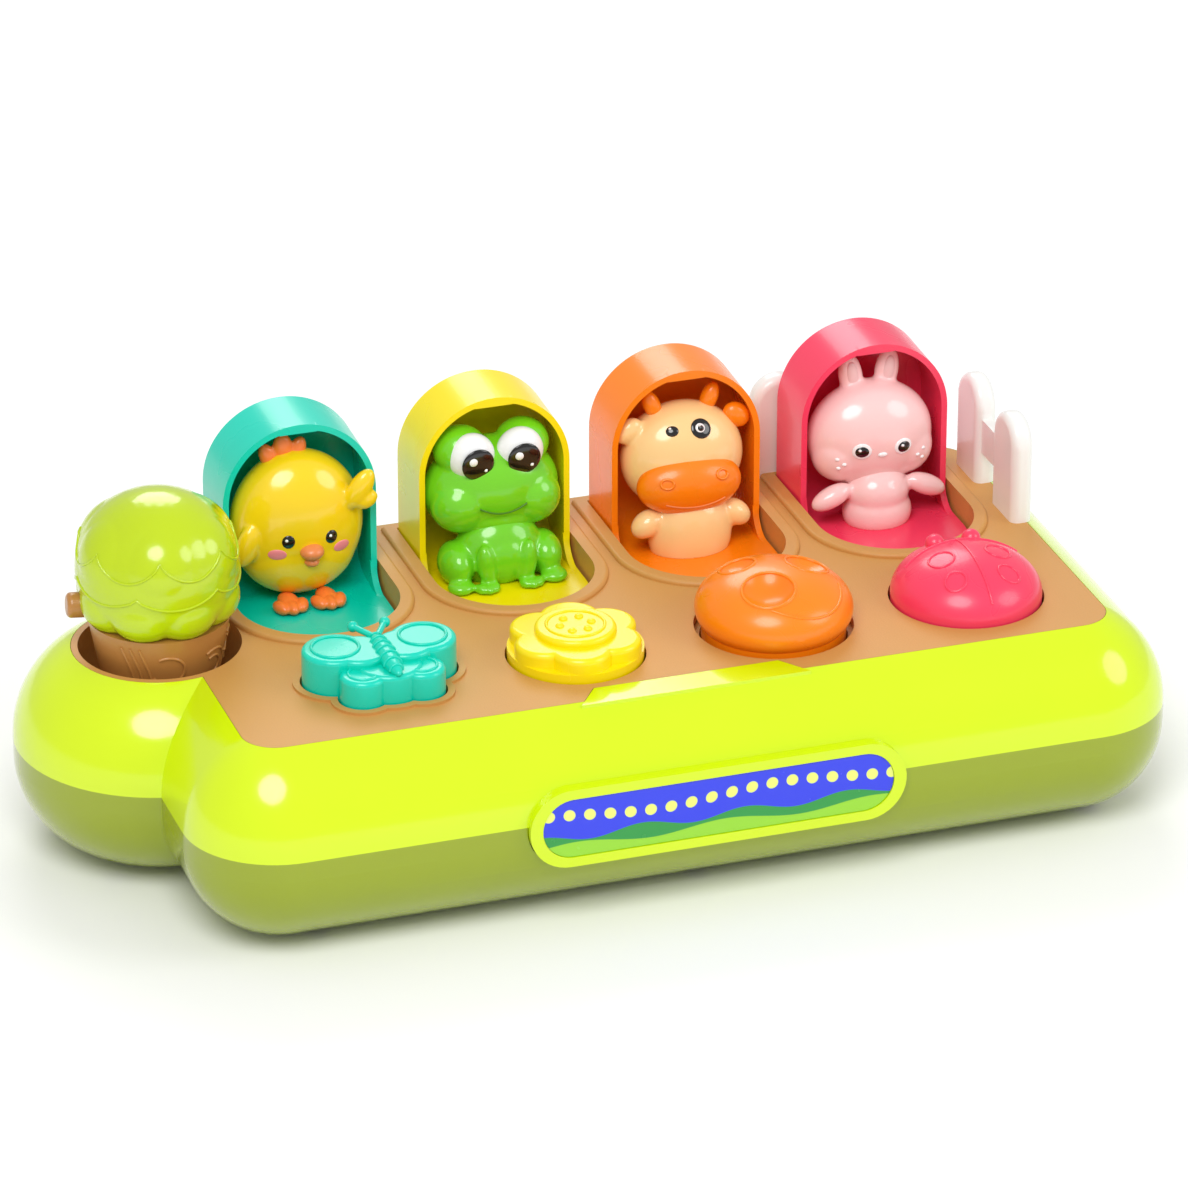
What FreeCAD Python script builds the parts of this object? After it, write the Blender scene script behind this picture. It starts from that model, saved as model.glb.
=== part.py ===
import FreeCAD, Part
import math
import os
import re
from types import SimpleNamespace
from FreeCAD import Vector

os.makedirs("parts", exist_ok=True)
doc = FreeCAD.newDocument("pop_up_animal_toy")

# Driving sizes in millimetres. X runs along the row of hoods, -Y faces the child, Z is up.
# The toy stands on Z = 0 and is centred on X = 0, Y = 0.
SIZES = {
    "wall": 2.2, "plate": 2.5, "ledge": 2.0, "ledgeWidth": 4.0, "gap": 0.3, "fitGap": 0.15, "runGap": 0.05,
    # casing
    "panelTop": 60.0, "panelLength": 253.4, "panelDepth": 125.8, "cornerRadius": 10.0,
    "bulge": 17.0, "partingHeight": 33.0, "lowerArc": 26.5, "shellBottom": 0.8,
    "lobeOffset": 5.6, "lobeBack": 53.3, "lobeRadius": 25.0, "bowlRadius": 23.0, "bowlDepth": 17.0, "bowlWall": 1.6,
    "landLength": 67.0, "landDepth": 7.0, "landSlant": 6.5,
    "framePlateLength": 110.0, "framePlateHeight": 23.6, "frameProud": 2.0, "frameDepth": 6.0,
    "labelLength": 102.4, "labelHeight": 17.6, "labelRecess": 0.8, "labelThickness": 0.4, "labelRise": 31.6,
    "labelX": 17.0,
    "bossRadius": 4.0, "screwRadius": 1.3, "screwHead": 2.6, "footRadius": 6.0, "footHeight": 1.6,
    "footInset": 16.0,
    # four hoods on their hinges
    "pitch": 58.0, "firstChannel": 43.6, "hoodPlane": 26.3, "hoodHalf": 23.0, "hoodDepth": 19.5,
    "hoodWall": 1.8, "hoodSide": 25.3, "hoodDraft": 0.4, "hoodFloor": 6.0, "heelRadius": 12.0, "heelRound": 5.0,
    "floorChord": 33.8, "floorArc": 15.0, "floorRadius": 22.5, "gussetReach": 8.0,
    "hingeBack": 14.8, "hingeDrop": 4.5, "pinRadius": 1.25, "lugThickness": 2.5, "springRoom": 4.0,
    "lipHalf": 5.5, "lipDepth": 2.0, "lipDrop": 0.9,
    "openingHalf": 23.35, "openingArc": 16.6, "openingBack": 20.4, "skirtWall": 1.3, "skirtDepth": 8.5, "beadWidth": 4.0, "beadHeight": 1.4,
    # buttons and latches
    "buttonSetback": 70.2, "buttonTravel": 3.0, "stemRadius": 4.0, "capWall": 1.8,
    "butterflyShift": 2.8, "flowerShift": 0.9, "orangeShift": 1.6, "pinkShift": 1.6,
    "butterflyHeight": 11.0, "flowerHeight": 7.0, "flowerRadius": 19.2, "flowerTurn": 45.0,
    "orangeRadius": 22.4, "orangeHeight": 17.6, "pinkRadius": 21.6, "pinkHeight": 14.4, "holeGap": 0.6,
    "latchWidth": 10.0, "latchThickness": 3.0, "deckDrop": 24.4, "deckThickness": 2.4,
    "hookBite": 0.5, "hookThickness": 1.2, "latchWire": 0.35, "buttonWire": 0.4, "hingeWire": 0.22,
    "latchTurns": 7.0, "buttonTurns": 5.0, "hingeTurns": 3.0,
    # tree
    "canopyRadius": 24.2, "canopyHeight": 36.0, "canopyLift": 9.5, "trunkTop": 20.0, "trunkFoot": 15.5,
    "spindleRadius": 4.0,
    # fence
    "picketWidth": 17.2, "picketThickness": 6.4, "picketHeight": 31.5, "picketPitch": 28.8, "railHeight": 10.5,
    "railLow": 10.0, "fenceOverlap": 1.6, "sideFenceFront": 68.0, "backFenceStart": 169.0,
    # animals
    "chickWidth": 19.6, "chickTall": 44.0, "chickLift": 3.2, "footRest": 1.4,
    "frogHead": 20.2, "frogHeadTall": 14.6, "frogBody": 15.5, "frogLift": 23.0, "eyeRadius": 7.0,
    "calfHead": 18.6, "calfHeadTall": 18.0, "calfLift": 22.5, "muzzleWidth": 15.6, "muzzleTall": 8.6,
    "bodyRadius": 12.6, "bunnyHead": 19.0, "bunnyHeadTall": 15.6, "bunnyLift": 22.5, "earLength": 12.0,
    "bunnyBody": 10.5, "animalDepth": 15.0, "animalPlane": 1.5,
}

sheet = doc.addObject("Spreadsheet::Sheet", "dims")
for row, (alias, number) in enumerate(SIZES.items(), start=1):
    sheet.set(f"A{row}", alias)
    sheet.set(f"B{row}", str(number))
    sheet.setAlias(f"B{row}", alias)
doc.recompute()
s = SimpleNamespace(**{alias: float(sheet.get(alias)) for alias in SIZES})

# Places that follow from the driving sizes
totalX = 2 * s.bulge + s.panelLength + s.lobeOffset + s.lobeRadius
totalY = 2 * s.bulge + s.panelDepth + s.frameProud
panelRight = totalX / 2 - s.bulge
panelLeft = panelRight - s.panelLength
panelFront = s.frameProud + s.bulge - totalY / 2
panelBack = panelFront + s.panelDepth
lobe = Vector(panelLeft - s.lobeOffset, panelBack - s.lobeBack, 0)
hoodY = panelBack - s.hoodPlane
buttonY = hoodY - s.buttonSetback
hingeY = hoodY + s.hingeBack
hingeZ = s.panelTop - s.hingeDrop
floorZ = s.panelTop - s.hoodFloor
hoodCrown = s.panelTop + s.hoodSide + s.hoodHalf
underPanel = s.panelTop - s.plate
ledgeUnder = underPanel - s.ledge
deckTop = s.panelTop - s.deckDrop
deckUnder = deckTop - s.deckThickness
insideFloor = s.shellBottom + s.wall
rise = s.panelTop - s.partingHeight
upperArc = (s.bulge ** 2 + rise ** 2) / (2 * s.bulge)
channelX = [panelLeft + s.firstChannel + s.pitch * i for i in range(4)]
names = ["chick", "frog", "calf", "bunny"]
shifts = [s.butterflyShift, s.flowerShift, s.orangeShift, s.pinkShift]
buttonX = [x + shift for x, shift in zip(channelX, shifts)]
parts = {}


def bound(formula):
    """A formula in size names, as an expression on the sheet."""
    return re.sub(r"[A-Za-z]\w*", lambda word: "dims." + word[0] if word[0] in SIZES else word[0], formula)


def primitive(kind, label, place=(0, 0, 0), turn=None, **formulas):
    item = doc.addObject(kind, label)
    item.Placement = FreeCAD.Placement(Vector(*place), turn or FreeCAD.Rotation())
    for name, formula in formulas.items():
        item.setExpression(name, bound(formula))
    return item


def box(label, place, Length, Width, Height):
    return primitive("Part::Box", label, place, Length=Length, Width=Width, Height=Height)


def cylinder(label, place, Radius, Height, turn=None):
    return primitive("Part::Cylinder", label, place, turn, Radius=Radius, Height=Height)


def joined(label, items):
    item = doc.addObject("Part::MultiFuse", label)
    item.Shapes = items
    return item


def cutFrom(label, base, tool):
    item = doc.addObject("Part::Cut", label)
    item.Base = base
    item.Tool = tool
    return item


def feature(label, shape):
    item = doc.addObject("Part::Feature", label)
    item.Shape = shape
    return item


def part(node, item):
    item.Label = node
    parts[node] = item
    return item


def fused(shapes):
    whole = shapes[0]
    if len(shapes) > 1:
        whole = shapes[0].multiFuse(shapes[1:])
    return whole.removeSplitter()


def solidBox(x0, x1, y0, y1, z0, z1):
    return Part.makeBox(x1 - x0, y1 - y0, z1 - z0, Vector(x0, y0, z0))


def post(x, y, z0, z1, radius):
    return Part.makeCylinder(radius, z1 - z0, Vector(x, y, z0))


def arc(centre, radius, start, end, plane="XZ"):
    """Arc by its centre and two angles in degrees, through the middle angle."""
    points = []
    for angle in (start, (start + end) / 2, end):
        a = math.radians(angle)
        across, up = radius * math.cos(a), radius * math.sin(a)
        offset = Vector(across, 0, up) if plane == "XZ" else Vector(across, up, 0)
        if plane == "YZ":
            offset = Vector(0, across, up)
        points.append(centre + offset)
    return Part.Arc(*points).toShape()


def line(a, b):
    return Part.makeLine(a, b)


def faceOf(edges):
    return Part.Face(Part.Wire(Part.__sortEdges__(edges)))


def ball(x, y, z, across, deep, tall):
    """Ellipsoid with its three half sizes, flattened a little at its front and back poles."""
    sphere = Part.makeSphere(1.0, Vector(0, 0, 0), Vector(0, 1, 0), -86, 86, 360)
    grow = FreeCAD.Matrix()
    grow.scale(Vector(across, deep, tall))
    shape = sphere.transformGeometry(grow)
    shape.translate(Vector(x, y, z))
    return shape


def roundedPlate(x0, x1, y0, y1, radius, z0, z1):
    corners = [post(x, y, z0, z1, radius) for x in (x0 + radius, x1 - radius) for y in (y0 + radius, y1 - radius)]
    cross = [solidBox(x0 + radius, x1 - radius, y0, y1, z0, z1), solidBox(x0, x1, y0 + radius, y1 - radius, z0, z1)]
    return fused(cross + corners)


def panelPlate(grow, z0, z1):
    """The panel's keyhole outline, grown by a margin."""
    body = roundedPlate(panelLeft - grow, panelRight + grow, panelFront - grow, panelBack + grow,
                        s.cornerRadius + grow, z0, z1)
    return fused([body, post(lobe.x, lobe.y, z0, z1, s.lobeRadius + grow)])


def sideProfile(inner, inset, top):
    """Half section of the casing from a corner's axis outwards, with its side moved in by a wall."""
    x = lambda reach: inner + reach
    lowZ = s.shellBottom + s.lowerArc
    lowCentre = Vector(x(s.bulge - s.lowerArc), 0, lowZ)
    upCentre = Vector(x(s.bulge - upperArc), 0, s.partingHeight)
    end = math.degrees(math.asin((top - s.partingHeight) / (upperArc - inset)))
    low = arc(lowCentre, s.lowerArc - inset, -90, 0)
    up = arc(upCentre, upperArc - inset, 0, end)
    bottom = s.shellBottom + inset
    side = line(Vector(x(s.bulge - inset), 0, lowZ), Vector(x(s.bulge - inset), 0, s.partingHeight))
    topReach = up.Vertexes[0].Point if up.Vertexes[0].Z > up.Vertexes[-1].Z else up.Vertexes[-1].Point
    return faceOf([low, side, up, line(topReach, Vector(0, 0, top)), line(Vector(0, 0, top), Vector(0, 0, bottom)),
                   line(Vector(0, 0, bottom), Vector(lowCentre.x, 0, bottom))])


def pillow(inset, top):
    """Rounded casing body: the side profile carried round the panel and round the lobe."""
    radius = s.cornerRadius
    profile = sideProfile(radius, inset, top)
    pieces = []
    left, right = panelLeft + radius, panelRight - radius
    front, back = panelFront + radius, panelBack - radius
    for x in (left, right):
        for y in (front, back):
            puck = profile.revolve(Vector(0, 0, 0), Vector(0, 0, 1), 360)
            puck.translate(Vector(x, y, 0))
            pieces.append(puck)
    runs = [(0, Vector(right, front, 0), back - front), (90, Vector(right, back, 0), right - left),
            (180, Vector(left, back, 0), back - front), (270, Vector(left, front, 0), right - left)]
    for angle, corner, length in runs:
        run = profile.extrude(Vector(0, length, 0))
        run.rotate(Vector(0, 0, 0), Vector(0, 0, 1), angle)
        run.translate(corner)
        pieces.append(run)
    pieces.append(solidBox(left, right, front, back, s.shellBottom + inset, top))
    round_lobe = sideProfile(s.lobeRadius, inset, top).revolve(Vector(0, 0, 0), Vector(0, 0, 1), 360)
    round_lobe.translate(lobe)
    pieces.append(round_lobe)
    return fused(pieces)


def stadium(x, z, length, height, y0, y1):
    """Upright plate with round ends, facing the child."""
    radius = height / 2
    reach = length / 2 - radius
    edges = [line(Vector(x - reach, y0, z + radius), Vector(x + reach, y0, z + radius)),
             line(Vector(x - reach, y0, z - radius), Vector(x + reach, y0, z - radius)),
             arc(Vector(x + reach, y0, z), radius, -90, 90), arc(Vector(x - reach, y0, z), radius, 90, 270)]
    return faceOf(edges).extrude(Vector(0, y1 - y0, 0))


def helix(centre, axis, radius, wire, length, turns, tail=None):
    """Coil of wire from quarter turns, each two tangent arcs."""
    side = Vector(0, 0, 1) if abs(axis.z) < 0.5 else Vector(1, 0, 0)
    other = axis.cross(side)
    count = int(round(turns * 4))
    lead = length / (2 * math.pi * turns)

    def point(t):
        return centre + side * (radius * math.cos(t)) + other * (radius * math.sin(t)) + axis * (lead * t)

    def heading(t):
        way = side * (-radius * math.sin(t)) + other * (radius * math.cos(t)) + axis * lead
        return way.normalize()

    def curved(start, way, end):
        chord = end - start
        normal = chord - way * chord.dot(way)
        swing = chord.getAngle(way)
        bend = normal.normalize() * (chord.Length / 2 * math.tan(swing / 2))
        return Part.Arc(start, start + chord * 0.5 - across(chord, bend), end).toShape()

    def across(chord, bend):
        flat = Vector(chord).normalize()
        return (bend - flat * bend.dot(flat)).normalize() * bend.Length

    edges = []
    step = math.pi / 2
    for i in range(count):
        p0, p1, t0, t1 = point(i * step), point((i + 1) * step), heading(i * step), heading((i + 1) * step)
        v = p0 - p1
        a, b, c = 2 * (t0.dot(t1) - 1), 2 * v.dot(t0 + t1), v.dot(v)
        d = (-b - math.sqrt(b * b - 4 * a * c)) / (2 * a)
        middle = (p0 + t0 * d + p1 - t1 * d) * 0.5
        edges.append(curved(p0, t0, middle))
        edges.append(curved(middle, (p1 - t1 * d - middle).normalize(), p1))
    path = Part.Wire(edges)
    ring = Part.Wire(Part.makeCircle(wire, point(0), heading(0)))
    return path.makePipeShell([ring], True, False)


# Casing
def slab(z0, z1, margin=60):
    return solidBox(-totalX, totalX, -totalY, totalY, z0, z1)


outer = pillow(0, s.panelTop)
labelZ = s.labelRise
frontFace = -totalY / 2
hollow = pillow(s.wall, ledgeUnder)
frameBlock = stadium(s.labelX, labelZ, s.framePlateLength, s.framePlateHeight, frontFace, frontFace + s.frameDepth)
labelPocket = stadium(s.labelX, labelZ, s.labelLength + 2 * s.fitGap, s.labelHeight + 2 * s.fitGap,
                      frontFace - 1, frontFace + s.labelRecess)
bossPlaces = [(x, y) for x in (panelLeft + 18, s.labelX, panelRight - 6) for y in (panelFront + 2, panelBack - 1)]
bossPlaces = [(x, y) for x, y in bossPlaces if not (x == s.labelX and y > 0)] + [(lobe.x - 20, lobe.y - 22)]


def landBlock(grow, z0, z1):
    """Raised strip of the casing that reaches into the panel's front edge."""
    half = s.landLength / 2 + grow
    middle = s.labelX - 1
    y0, y1 = panelFront - 2, panelFront + s.landDepth + grow
    corners = [Vector(middle - half, y0, z0), Vector(middle + half, y0, z0),
               Vector(middle + half - s.landSlant, y1, z0), Vector(middle - half + s.landSlant, y1, z0)]
    edges = [line(corners[i], corners[(i + 1) % 4]) for i in range(4)]
    return faceOf(edges).extrude(Vector(0, 0, z1 - z0))


upper = outer.common(slab(s.partingHeight, s.panelTop)).cut(hollow)
upper = upper.cut(panelPlate(0, underPanel, s.panelTop + 1)).cut(panelPlate(-s.ledgeWidth, ledgeUnder - 1, underPanel))
land = landBlock(0, ledgeUnder, s.panelTop)
upper = fused([upper, frameBlock, land]).cut(labelPocket)
bosses = [post(x, y, s.partingHeight, ledgeUnder + 0.5, s.bossRadius) for x, y in bossPlaces]
upper = fused([upper] + [boss.common(outer) for boss in bosses])
for x, y in bossPlaces:
    upper = upper.cut(post(x, y, s.partingHeight - 1, s.partingHeight + 14, s.screwRadius + s.runGap))
panelScrewPlaces = [(x, y) for x in (panelLeft + s.pitch * 0.5 + 14, panelRight - 42)
                    for y in (panelFront + 2.2, panelBack - 2.2)]
for x, y in panelScrewPlaces:
    upper = upper.cut(post(x, y, ledgeUnder - 1, underPanel + 1, s.screwRadius + s.fitGap))
upper = upper.cut(post(lobe.x, lobe.y, ledgeUnder - 1, underPanel, s.bowlRadius + s.bowlWall + s.fitGap))
part("upper_housing", feature("upper_housing", upper))

# Lower shell with its screw towers, the posts of the latch deck and the tree's socket
lowerOuter = pillow(0, s.panelTop).common(slab(0, s.partingHeight))
lower = lowerOuter.cut(pillow(s.wall, ledgeUnder))
frameSlot = stadium(s.labelX, labelZ, s.framePlateLength + 2 * s.fitGap, s.framePlateHeight + 2 * s.fitGap,
                    frontFace - 1, frontFace + s.frameDepth + s.fitGap)
lower = lower.cut(frameSlot)
deckFront, deckRear = buttonY - 11, hoodY - 41.5
deckLeft, deckRight = buttonX[0] - 19, buttonX[3] + 19
deckPosts = [(x, y) for x in (deckLeft + 5, (buttonX[1] + buttonX[2]) / 2, deckRight - 5)
             for y in (deckFront + 5, deckRear - 5)]
towers = [post(x, y, insideFloor - 1, s.partingHeight - s.fitGap, s.bossRadius).common(lowerOuter) for x, y in bossPlaces]
towers += [post(x, y, insideFloor - 1, deckUnder, s.bossRadius) for x, y in deckPosts]
socketTop = s.panelTop - s.bowlDepth - 8
socket = post(lobe.x, lobe.y, insideFloor - 1, socketTop, s.spindleRadius + 3)
towers.append(socket)
lower = fused([lower] + towers)
for x, y in bossPlaces:
    lower = lower.cut(post(x, y, -1, 9, s.screwHead + s.fitGap)).cut(post(x, y, 8, s.partingHeight + 1, s.screwRadius + s.fitGap))
for x, y in deckPosts:
    lower = lower.cut(post(x, y, deckUnder - 12, deckUnder + 1, s.screwRadius + s.runGap))
lower = lower.cut(post(lobe.x, lobe.y, insideFloor + 2, socketTop + 1, s.spindleRadius + s.runGap))
footPlaces = [(x, y) for x in (panelLeft + s.footInset, panelRight - s.footInset)
              for y in (panelFront + s.footInset, panelBack - s.footInset)] + [(lobe.x - 4, lobe.y + 12)]
for x, y in footPlaces:
    lower = lower.cut(post(x, y, -1, s.footHeight, s.footRadius + s.fitGap))
springPosts = [post(buttonX[i], buttonY, insideFloor - 1, insideFloor + 8, s.stemRadius - 0.8) for i in (0, 2, 3)]
lower = fused([lower] + springPosts)
part("lower_housing", feature("lower_housing", lower))

feet = [cylinder(f"foot_{i}", (x, y, 0), "footRadius", "footHeight") for i, (x, y) in enumerate(footPlaces)]
part("foot_pads", joined("foot_pads", feet))


def screw(label, x, y, head, tip):
    """Self-tapping screw from the face its head bears on to its tip, above or below."""
    up = tip > head
    item = cylinder(label + "_head", (x, y, head - 1.6 if up else head), "screwHead", "1.6")
    shank = primitive("Part::Cylinder", label + "_shank", (x, y, min(head, tip)), None, Radius="screwRadius")
    shank.Height = abs(tip - head)
    return [item, shank]


def screwGroup(node, places, head, tip):
    items = []
    for i, (x, y) in enumerate(places):
        items += screw(f"{node}_{i}", x, y, head, tip)
    return part(node, joined(node, items))


screwGroup("housing_screws", bossPlaces, 9, s.partingHeight + 10)
screwGroup("panel_screws", panelScrewPlaces, ledgeUnder, s.panelTop - 1.2)

label = stadium(s.labelX, labelZ, s.labelLength, s.labelHeight,
                frontFace + s.labelRecess - s.labelThickness, frontFace + s.labelRecess)
part("front_label", feature("front_label", label))


# Top panel
def openingEdge(grow, x):
    """Outline of one hood opening, grown by a margin, as a face under the panel."""
    half = s.openingHalf + grow
    arcY, backY = hoodY - s.openingArc, hoodY + s.openingBack + min(grow, 2.2)
    centre = Vector(x, arcY, 0)
    edges = [arc(centre, half, 180, 360, "XY"), line(Vector(x + half, arcY, 0), Vector(x + half, backY, 0)),
             line(Vector(x + half, backY, 0), Vector(x - half, backY, 0)),
             line(Vector(x - half, backY, 0), Vector(x - half, arcY, 0))]
    return faceOf(edges)


def prism(face, z0, z1):
    moved = face.copy()
    moved.translate(Vector(0, 0, z0))
    return moved.extrude(Vector(0, 0, z1 - z0))


def butterflyOutline(grow, x):
    """Two big wings at the back, two small ones in front, as overlapping discs."""
    y = buttonY
    return [(x - 12.6, y + 3.4, 9.4 + grow), (x + 12.6, y + 3.4, 9.4 + grow),
            (x - 6.6, y + 0.8, 8.6 + grow), (x + 6.6, y + 0.8, 8.6 + grow),
            (x - 8.4, y - 9.4, 6.6 + grow), (x + 8.4, y - 9.4, 6.6 + grow), (x, y - 6, 9.5 + grow)]


panel = panelPlate(-s.fitGap, underPanel, s.panelTop)
panel = panel.cut(landBlock(s.fitGap, underPanel - 1, s.panelTop + 1))
beads = []
for x in channelX:
    bead = prism(openingEdge(s.beadWidth, x), underPanel, s.panelTop + s.beadHeight)
    crown = [edge for edge in bead.Edges if abs(edge.BoundBox.ZMin - bead.BoundBox.ZMax) < 0.01]
    beads.append(bead.makeFillet(1.0, crown))
bowl = post(lobe.x, lobe.y, s.panelTop - s.bowlDepth, underPanel + 1, s.bowlRadius + s.bowlWall)
lugs = []
lugRound = s.pinRadius + 2.0
lugInner = s.hoodHalf + 0.9
leftLug = s.hoodHalf + s.springRoom + 0.4
for x in channelX:
    for start in (x + lugInner, x - leftLug - s.lugThickness):
        lug = solidBox(start, start + s.lugThickness, hingeY - lugRound, hingeY + lugRound, hingeZ, underPanel + 0.5)
        eye = Part.makeCylinder(lugRound, s.lugThickness, Vector(start, hingeY, hingeZ), Vector(1, 0, 0))
        lugs += [lug, eye]
skirts = []
for x in channelX:
    band = prism(openingEdge(s.skirtWall, x), s.panelTop - s.skirtDepth, underPanel + 0.5)
    skirts.append(band.common(slab(0, 100).cut(solidBox(-totalX, totalX, hingeY - 6, totalY, 0, 100))))
rimBeads = []
roundHoles = [s.flowerRadius + s.holeGap, s.orangeRadius + 0.2, s.pinkRadius + s.holeGap]
for cx, cy, radius in butterflyOutline(s.holeGap + 2.0, buttonX[0]):
    rimBeads.append(post(cx, cy, underPanel, s.panelTop + 0.8, radius))
panel = fused([panel] + beads + [bowl] + lugs + skirts + [fused(rimBeads)])
for x in channelX:
    panel = panel.cut(prism(openingEdge(0, x), s.panelTop - s.skirtDepth - 1, s.panelTop + 10))
    start = x - leftLug - s.lugThickness - 1
    panel = panel.cut(Part.makeCylinder(s.pinRadius + s.fitGap / 3, leftLug + lugInner + 2 * s.lugThickness + 2,
                                        Vector(start, hingeY, hingeZ), Vector(1, 0, 0)))
for cx, cy, radius in butterflyOutline(s.holeGap, buttonX[0]):
    panel = panel.cut(post(cx, cy, underPanel - 1, s.panelTop + 2, radius))
for x, radius in zip(buttonX[1:], roundHoles):
    panel = panel.cut(post(x, buttonY, underPanel - 1, s.panelTop + 2, radius))
panel = panel.cut(post(lobe.x, lobe.y, s.panelTop - s.bowlDepth + s.bowlWall, s.panelTop + 1, s.bowlRadius))
panel = panel.cut(post(lobe.x, lobe.y, 0, s.panelTop, s.spindleRadius + s.gap))
for x, y in panelScrewPlaces:
    panel = panel.cut(post(x, y, underPanel - 1, s.panelTop - 1.0, s.screwRadius + s.runGap))


# White fence: two pickets on the right edge and two on the back edge, joined by rails
def picketRow(along, start, count, fixed):
    """Pickets in a row. along is X or Y; start is the first picket's low edge; fixed is the row's face."""
    pieces = []
    half = s.picketWidth / 2
    for i in range(count):
        low = start + i * s.picketPitch
        top = s.panelTop + s.picketHeight
        shoulder = top - half
        profile = [line(Vector(low, 0, s.panelTop), Vector(low, 0, shoulder)),
                   arc(Vector(low + half, 0, shoulder), half, 0, 180),
                   line(Vector(low + 2 * half, 0, shoulder), Vector(low + 2 * half, 0, s.panelTop)),
                   line(Vector(low + 2 * half, 0, s.panelTop), Vector(low, 0, s.panelTop))]
        picket = faceOf(profile).extrude(Vector(0, s.picketThickness, 0))
        rounded = [edge for edge in picket.Edges if abs(edge.BoundBox.YLength) < 0.01 and edge.BoundBox.ZMax > s.panelTop + 1]
        picket = picket.makeFillet(2.4, rounded)
        peg = post(low + half, s.picketThickness / 2 - s.fenceOverlap + 1.0, underPanel - 3, s.panelTop + 2, 1.6)
        pieces += [picket, peg]
    railStart, railEnd = start + s.picketWidth - 2, start + s.picketPitch + 2
    pieces.append(solidBox(railStart, railEnd, 1.6, s.picketThickness - 1.6,
                           s.panelTop + s.railLow, s.panelTop + s.railLow + s.railHeight))
    row = fused(pieces)
    if along == "Y":
        row.rotate(Vector(0, 0, 0), Vector(0, 0, 1), 90)
        row.translate(Vector(fixed + s.picketThickness, 0, 0))
    else:
        row.translate(Vector(0, fixed, 0))
    return row


sideX = panelRight - s.picketThickness + s.fenceOverlap
backY = panelBack - s.picketThickness + s.fenceOverlap
sideFence = picketRow("Y", panelFront + s.sideFenceFront, 2, sideX)
backFence = picketRow("X", panelLeft + s.backFenceStart + 19, 2, backY)
pegs = []
for i in range(2):
    y = panelFront + s.sideFenceFront + s.picketWidth / 2 + i * s.picketPitch
    pegs.append((sideX + s.picketThickness / 2 + s.fenceOverlap - 1.0, y))
    x = panelLeft + s.backFenceStart + 19 + s.picketWidth / 2 + i * s.picketPitch
    pegs.append((x, backY + s.picketThickness / 2 - s.fenceOverlap + 1.0))
for x, y in pegs:
    panel = panel.cut(post(x, y, underPanel - 1, s.panelTop + 1, 1.6 + s.runGap))
    upper = upper.cut(post(x, y, ledgeUnder - 1, s.panelTop + 1, 1.6 + s.runGap))
backFence = backFence.cut(panel)
parts["upper_housing"].Shape = upper
part("top_panel", feature("top_panel", panel))
part("fence_side", feature("fence_side", sideFence))
part("fence_back", feature("fence_back", backFence))


# Hoods
def archFace(x, y, half, inset, low):
    """Arch outline: straight sides under a half circle."""
    spring = s.panelTop + s.hoodSide
    radius = half - inset
    edges = [line(Vector(x - radius, y, low), Vector(x - radius, y, spring)),
             arc(Vector(x, y, spring), radius, 0, 180),
             line(Vector(x + radius, y, spring), Vector(x + radius, y, low)),
             line(Vector(x + radius, y, low), Vector(x - radius, y, low))]
    return Part.Wire(Part.__sortEdges__(edges))


def hoodShape(x):
    low = floorZ - 2.0
    backY = hoodY + s.hoodDepth
    front, back = s.hoodHalf - s.hoodDraft, s.hoodHalf
    shell = Part.makeLoft([archFace(x, hoodY, front, 0, low), archFace(x, backY, back, 0, low)], True, True)
    heel = [edge for edge in shell.Edges if abs(edge.BoundBox.YMin - backY) < 0.01 and edge.BoundBox.ZMax < low + 0.01]
    shell = shell.makeFillet(s.heelRound, heel)
    floorFace = faceOf([arc(Vector(x, hoodY - s.floorArc, 0), s.floorRadius, 180, 360, "XY"),
                        line(Vector(x + s.floorRadius, hoodY - s.floorArc, 0), Vector(x + s.floorRadius, hoodY + 5, 0)),
                        line(Vector(x + s.floorRadius, hoodY + 5, 0), Vector(x - s.floorRadius, hoodY + 5, 0)),
                        line(Vector(x - s.floorRadius, hoodY + 5, 0), Vector(x - s.floorRadius, hoodY - s.floorArc, 0))])
    floor = prism(floorFace, low, floorZ).cut(solidBox(x - 30, x + 30, hoodY - 60, hoodY - s.floorChord, 0, 100))
    inner = Part.makeLoft([archFace(x, hoodY - 1, front, s.hoodWall, floorZ),
                           archFace(x, backY - s.hoodWall, back, s.hoodWall, floorZ)], True, True)
    cove = [edge for edge in inner.Edges
            if abs(edge.BoundBox.YMin - backY + s.hoodWall) < 0.01 and edge.BoundBox.ZMax < floorZ + 0.01]
    inner = inner.makeFillet(s.heelRadius, cove)
    gussets = []
    for side in (-1, 1):
        edgeX = x + side * (front - 0.2)
        y0, reach = hoodY, s.gussetReach
        curve = [line(Vector(edgeX, y0 + 1, floorZ), Vector(edgeX, y0 - reach, floorZ)),
                 arc(Vector(edgeX, y0 - reach, floorZ + reach), reach, -90, 0, "YZ"),
                 line(Vector(edgeX, y0, floorZ + reach), Vector(edgeX, y0 + 1, floorZ + reach)),
                 line(Vector(edgeX, y0 + 1, floorZ + reach), Vector(edgeX, y0 + 1, floorZ))]
        gussets.append(faceOf(curve).extrude(Vector(-side * s.hoodWall, 0, 0)))
    crown = s.panelTop + s.hoodSide + front
    lip = solidBox(x - s.lipHalf, x + s.lipHalf, hoodY, hoodY + s.lipDepth, crown - s.hoodWall - s.lipDrop, crown - 0.6)
    hood = fused([shell.cut(inner), floor, lip] + gussets)
    bore = Part.makeCylinder(s.pinRadius + s.runGap, 60, Vector(x - 30, hingeY, hingeZ), Vector(1, 0, 0))
    return hood.cut(bore)


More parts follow.
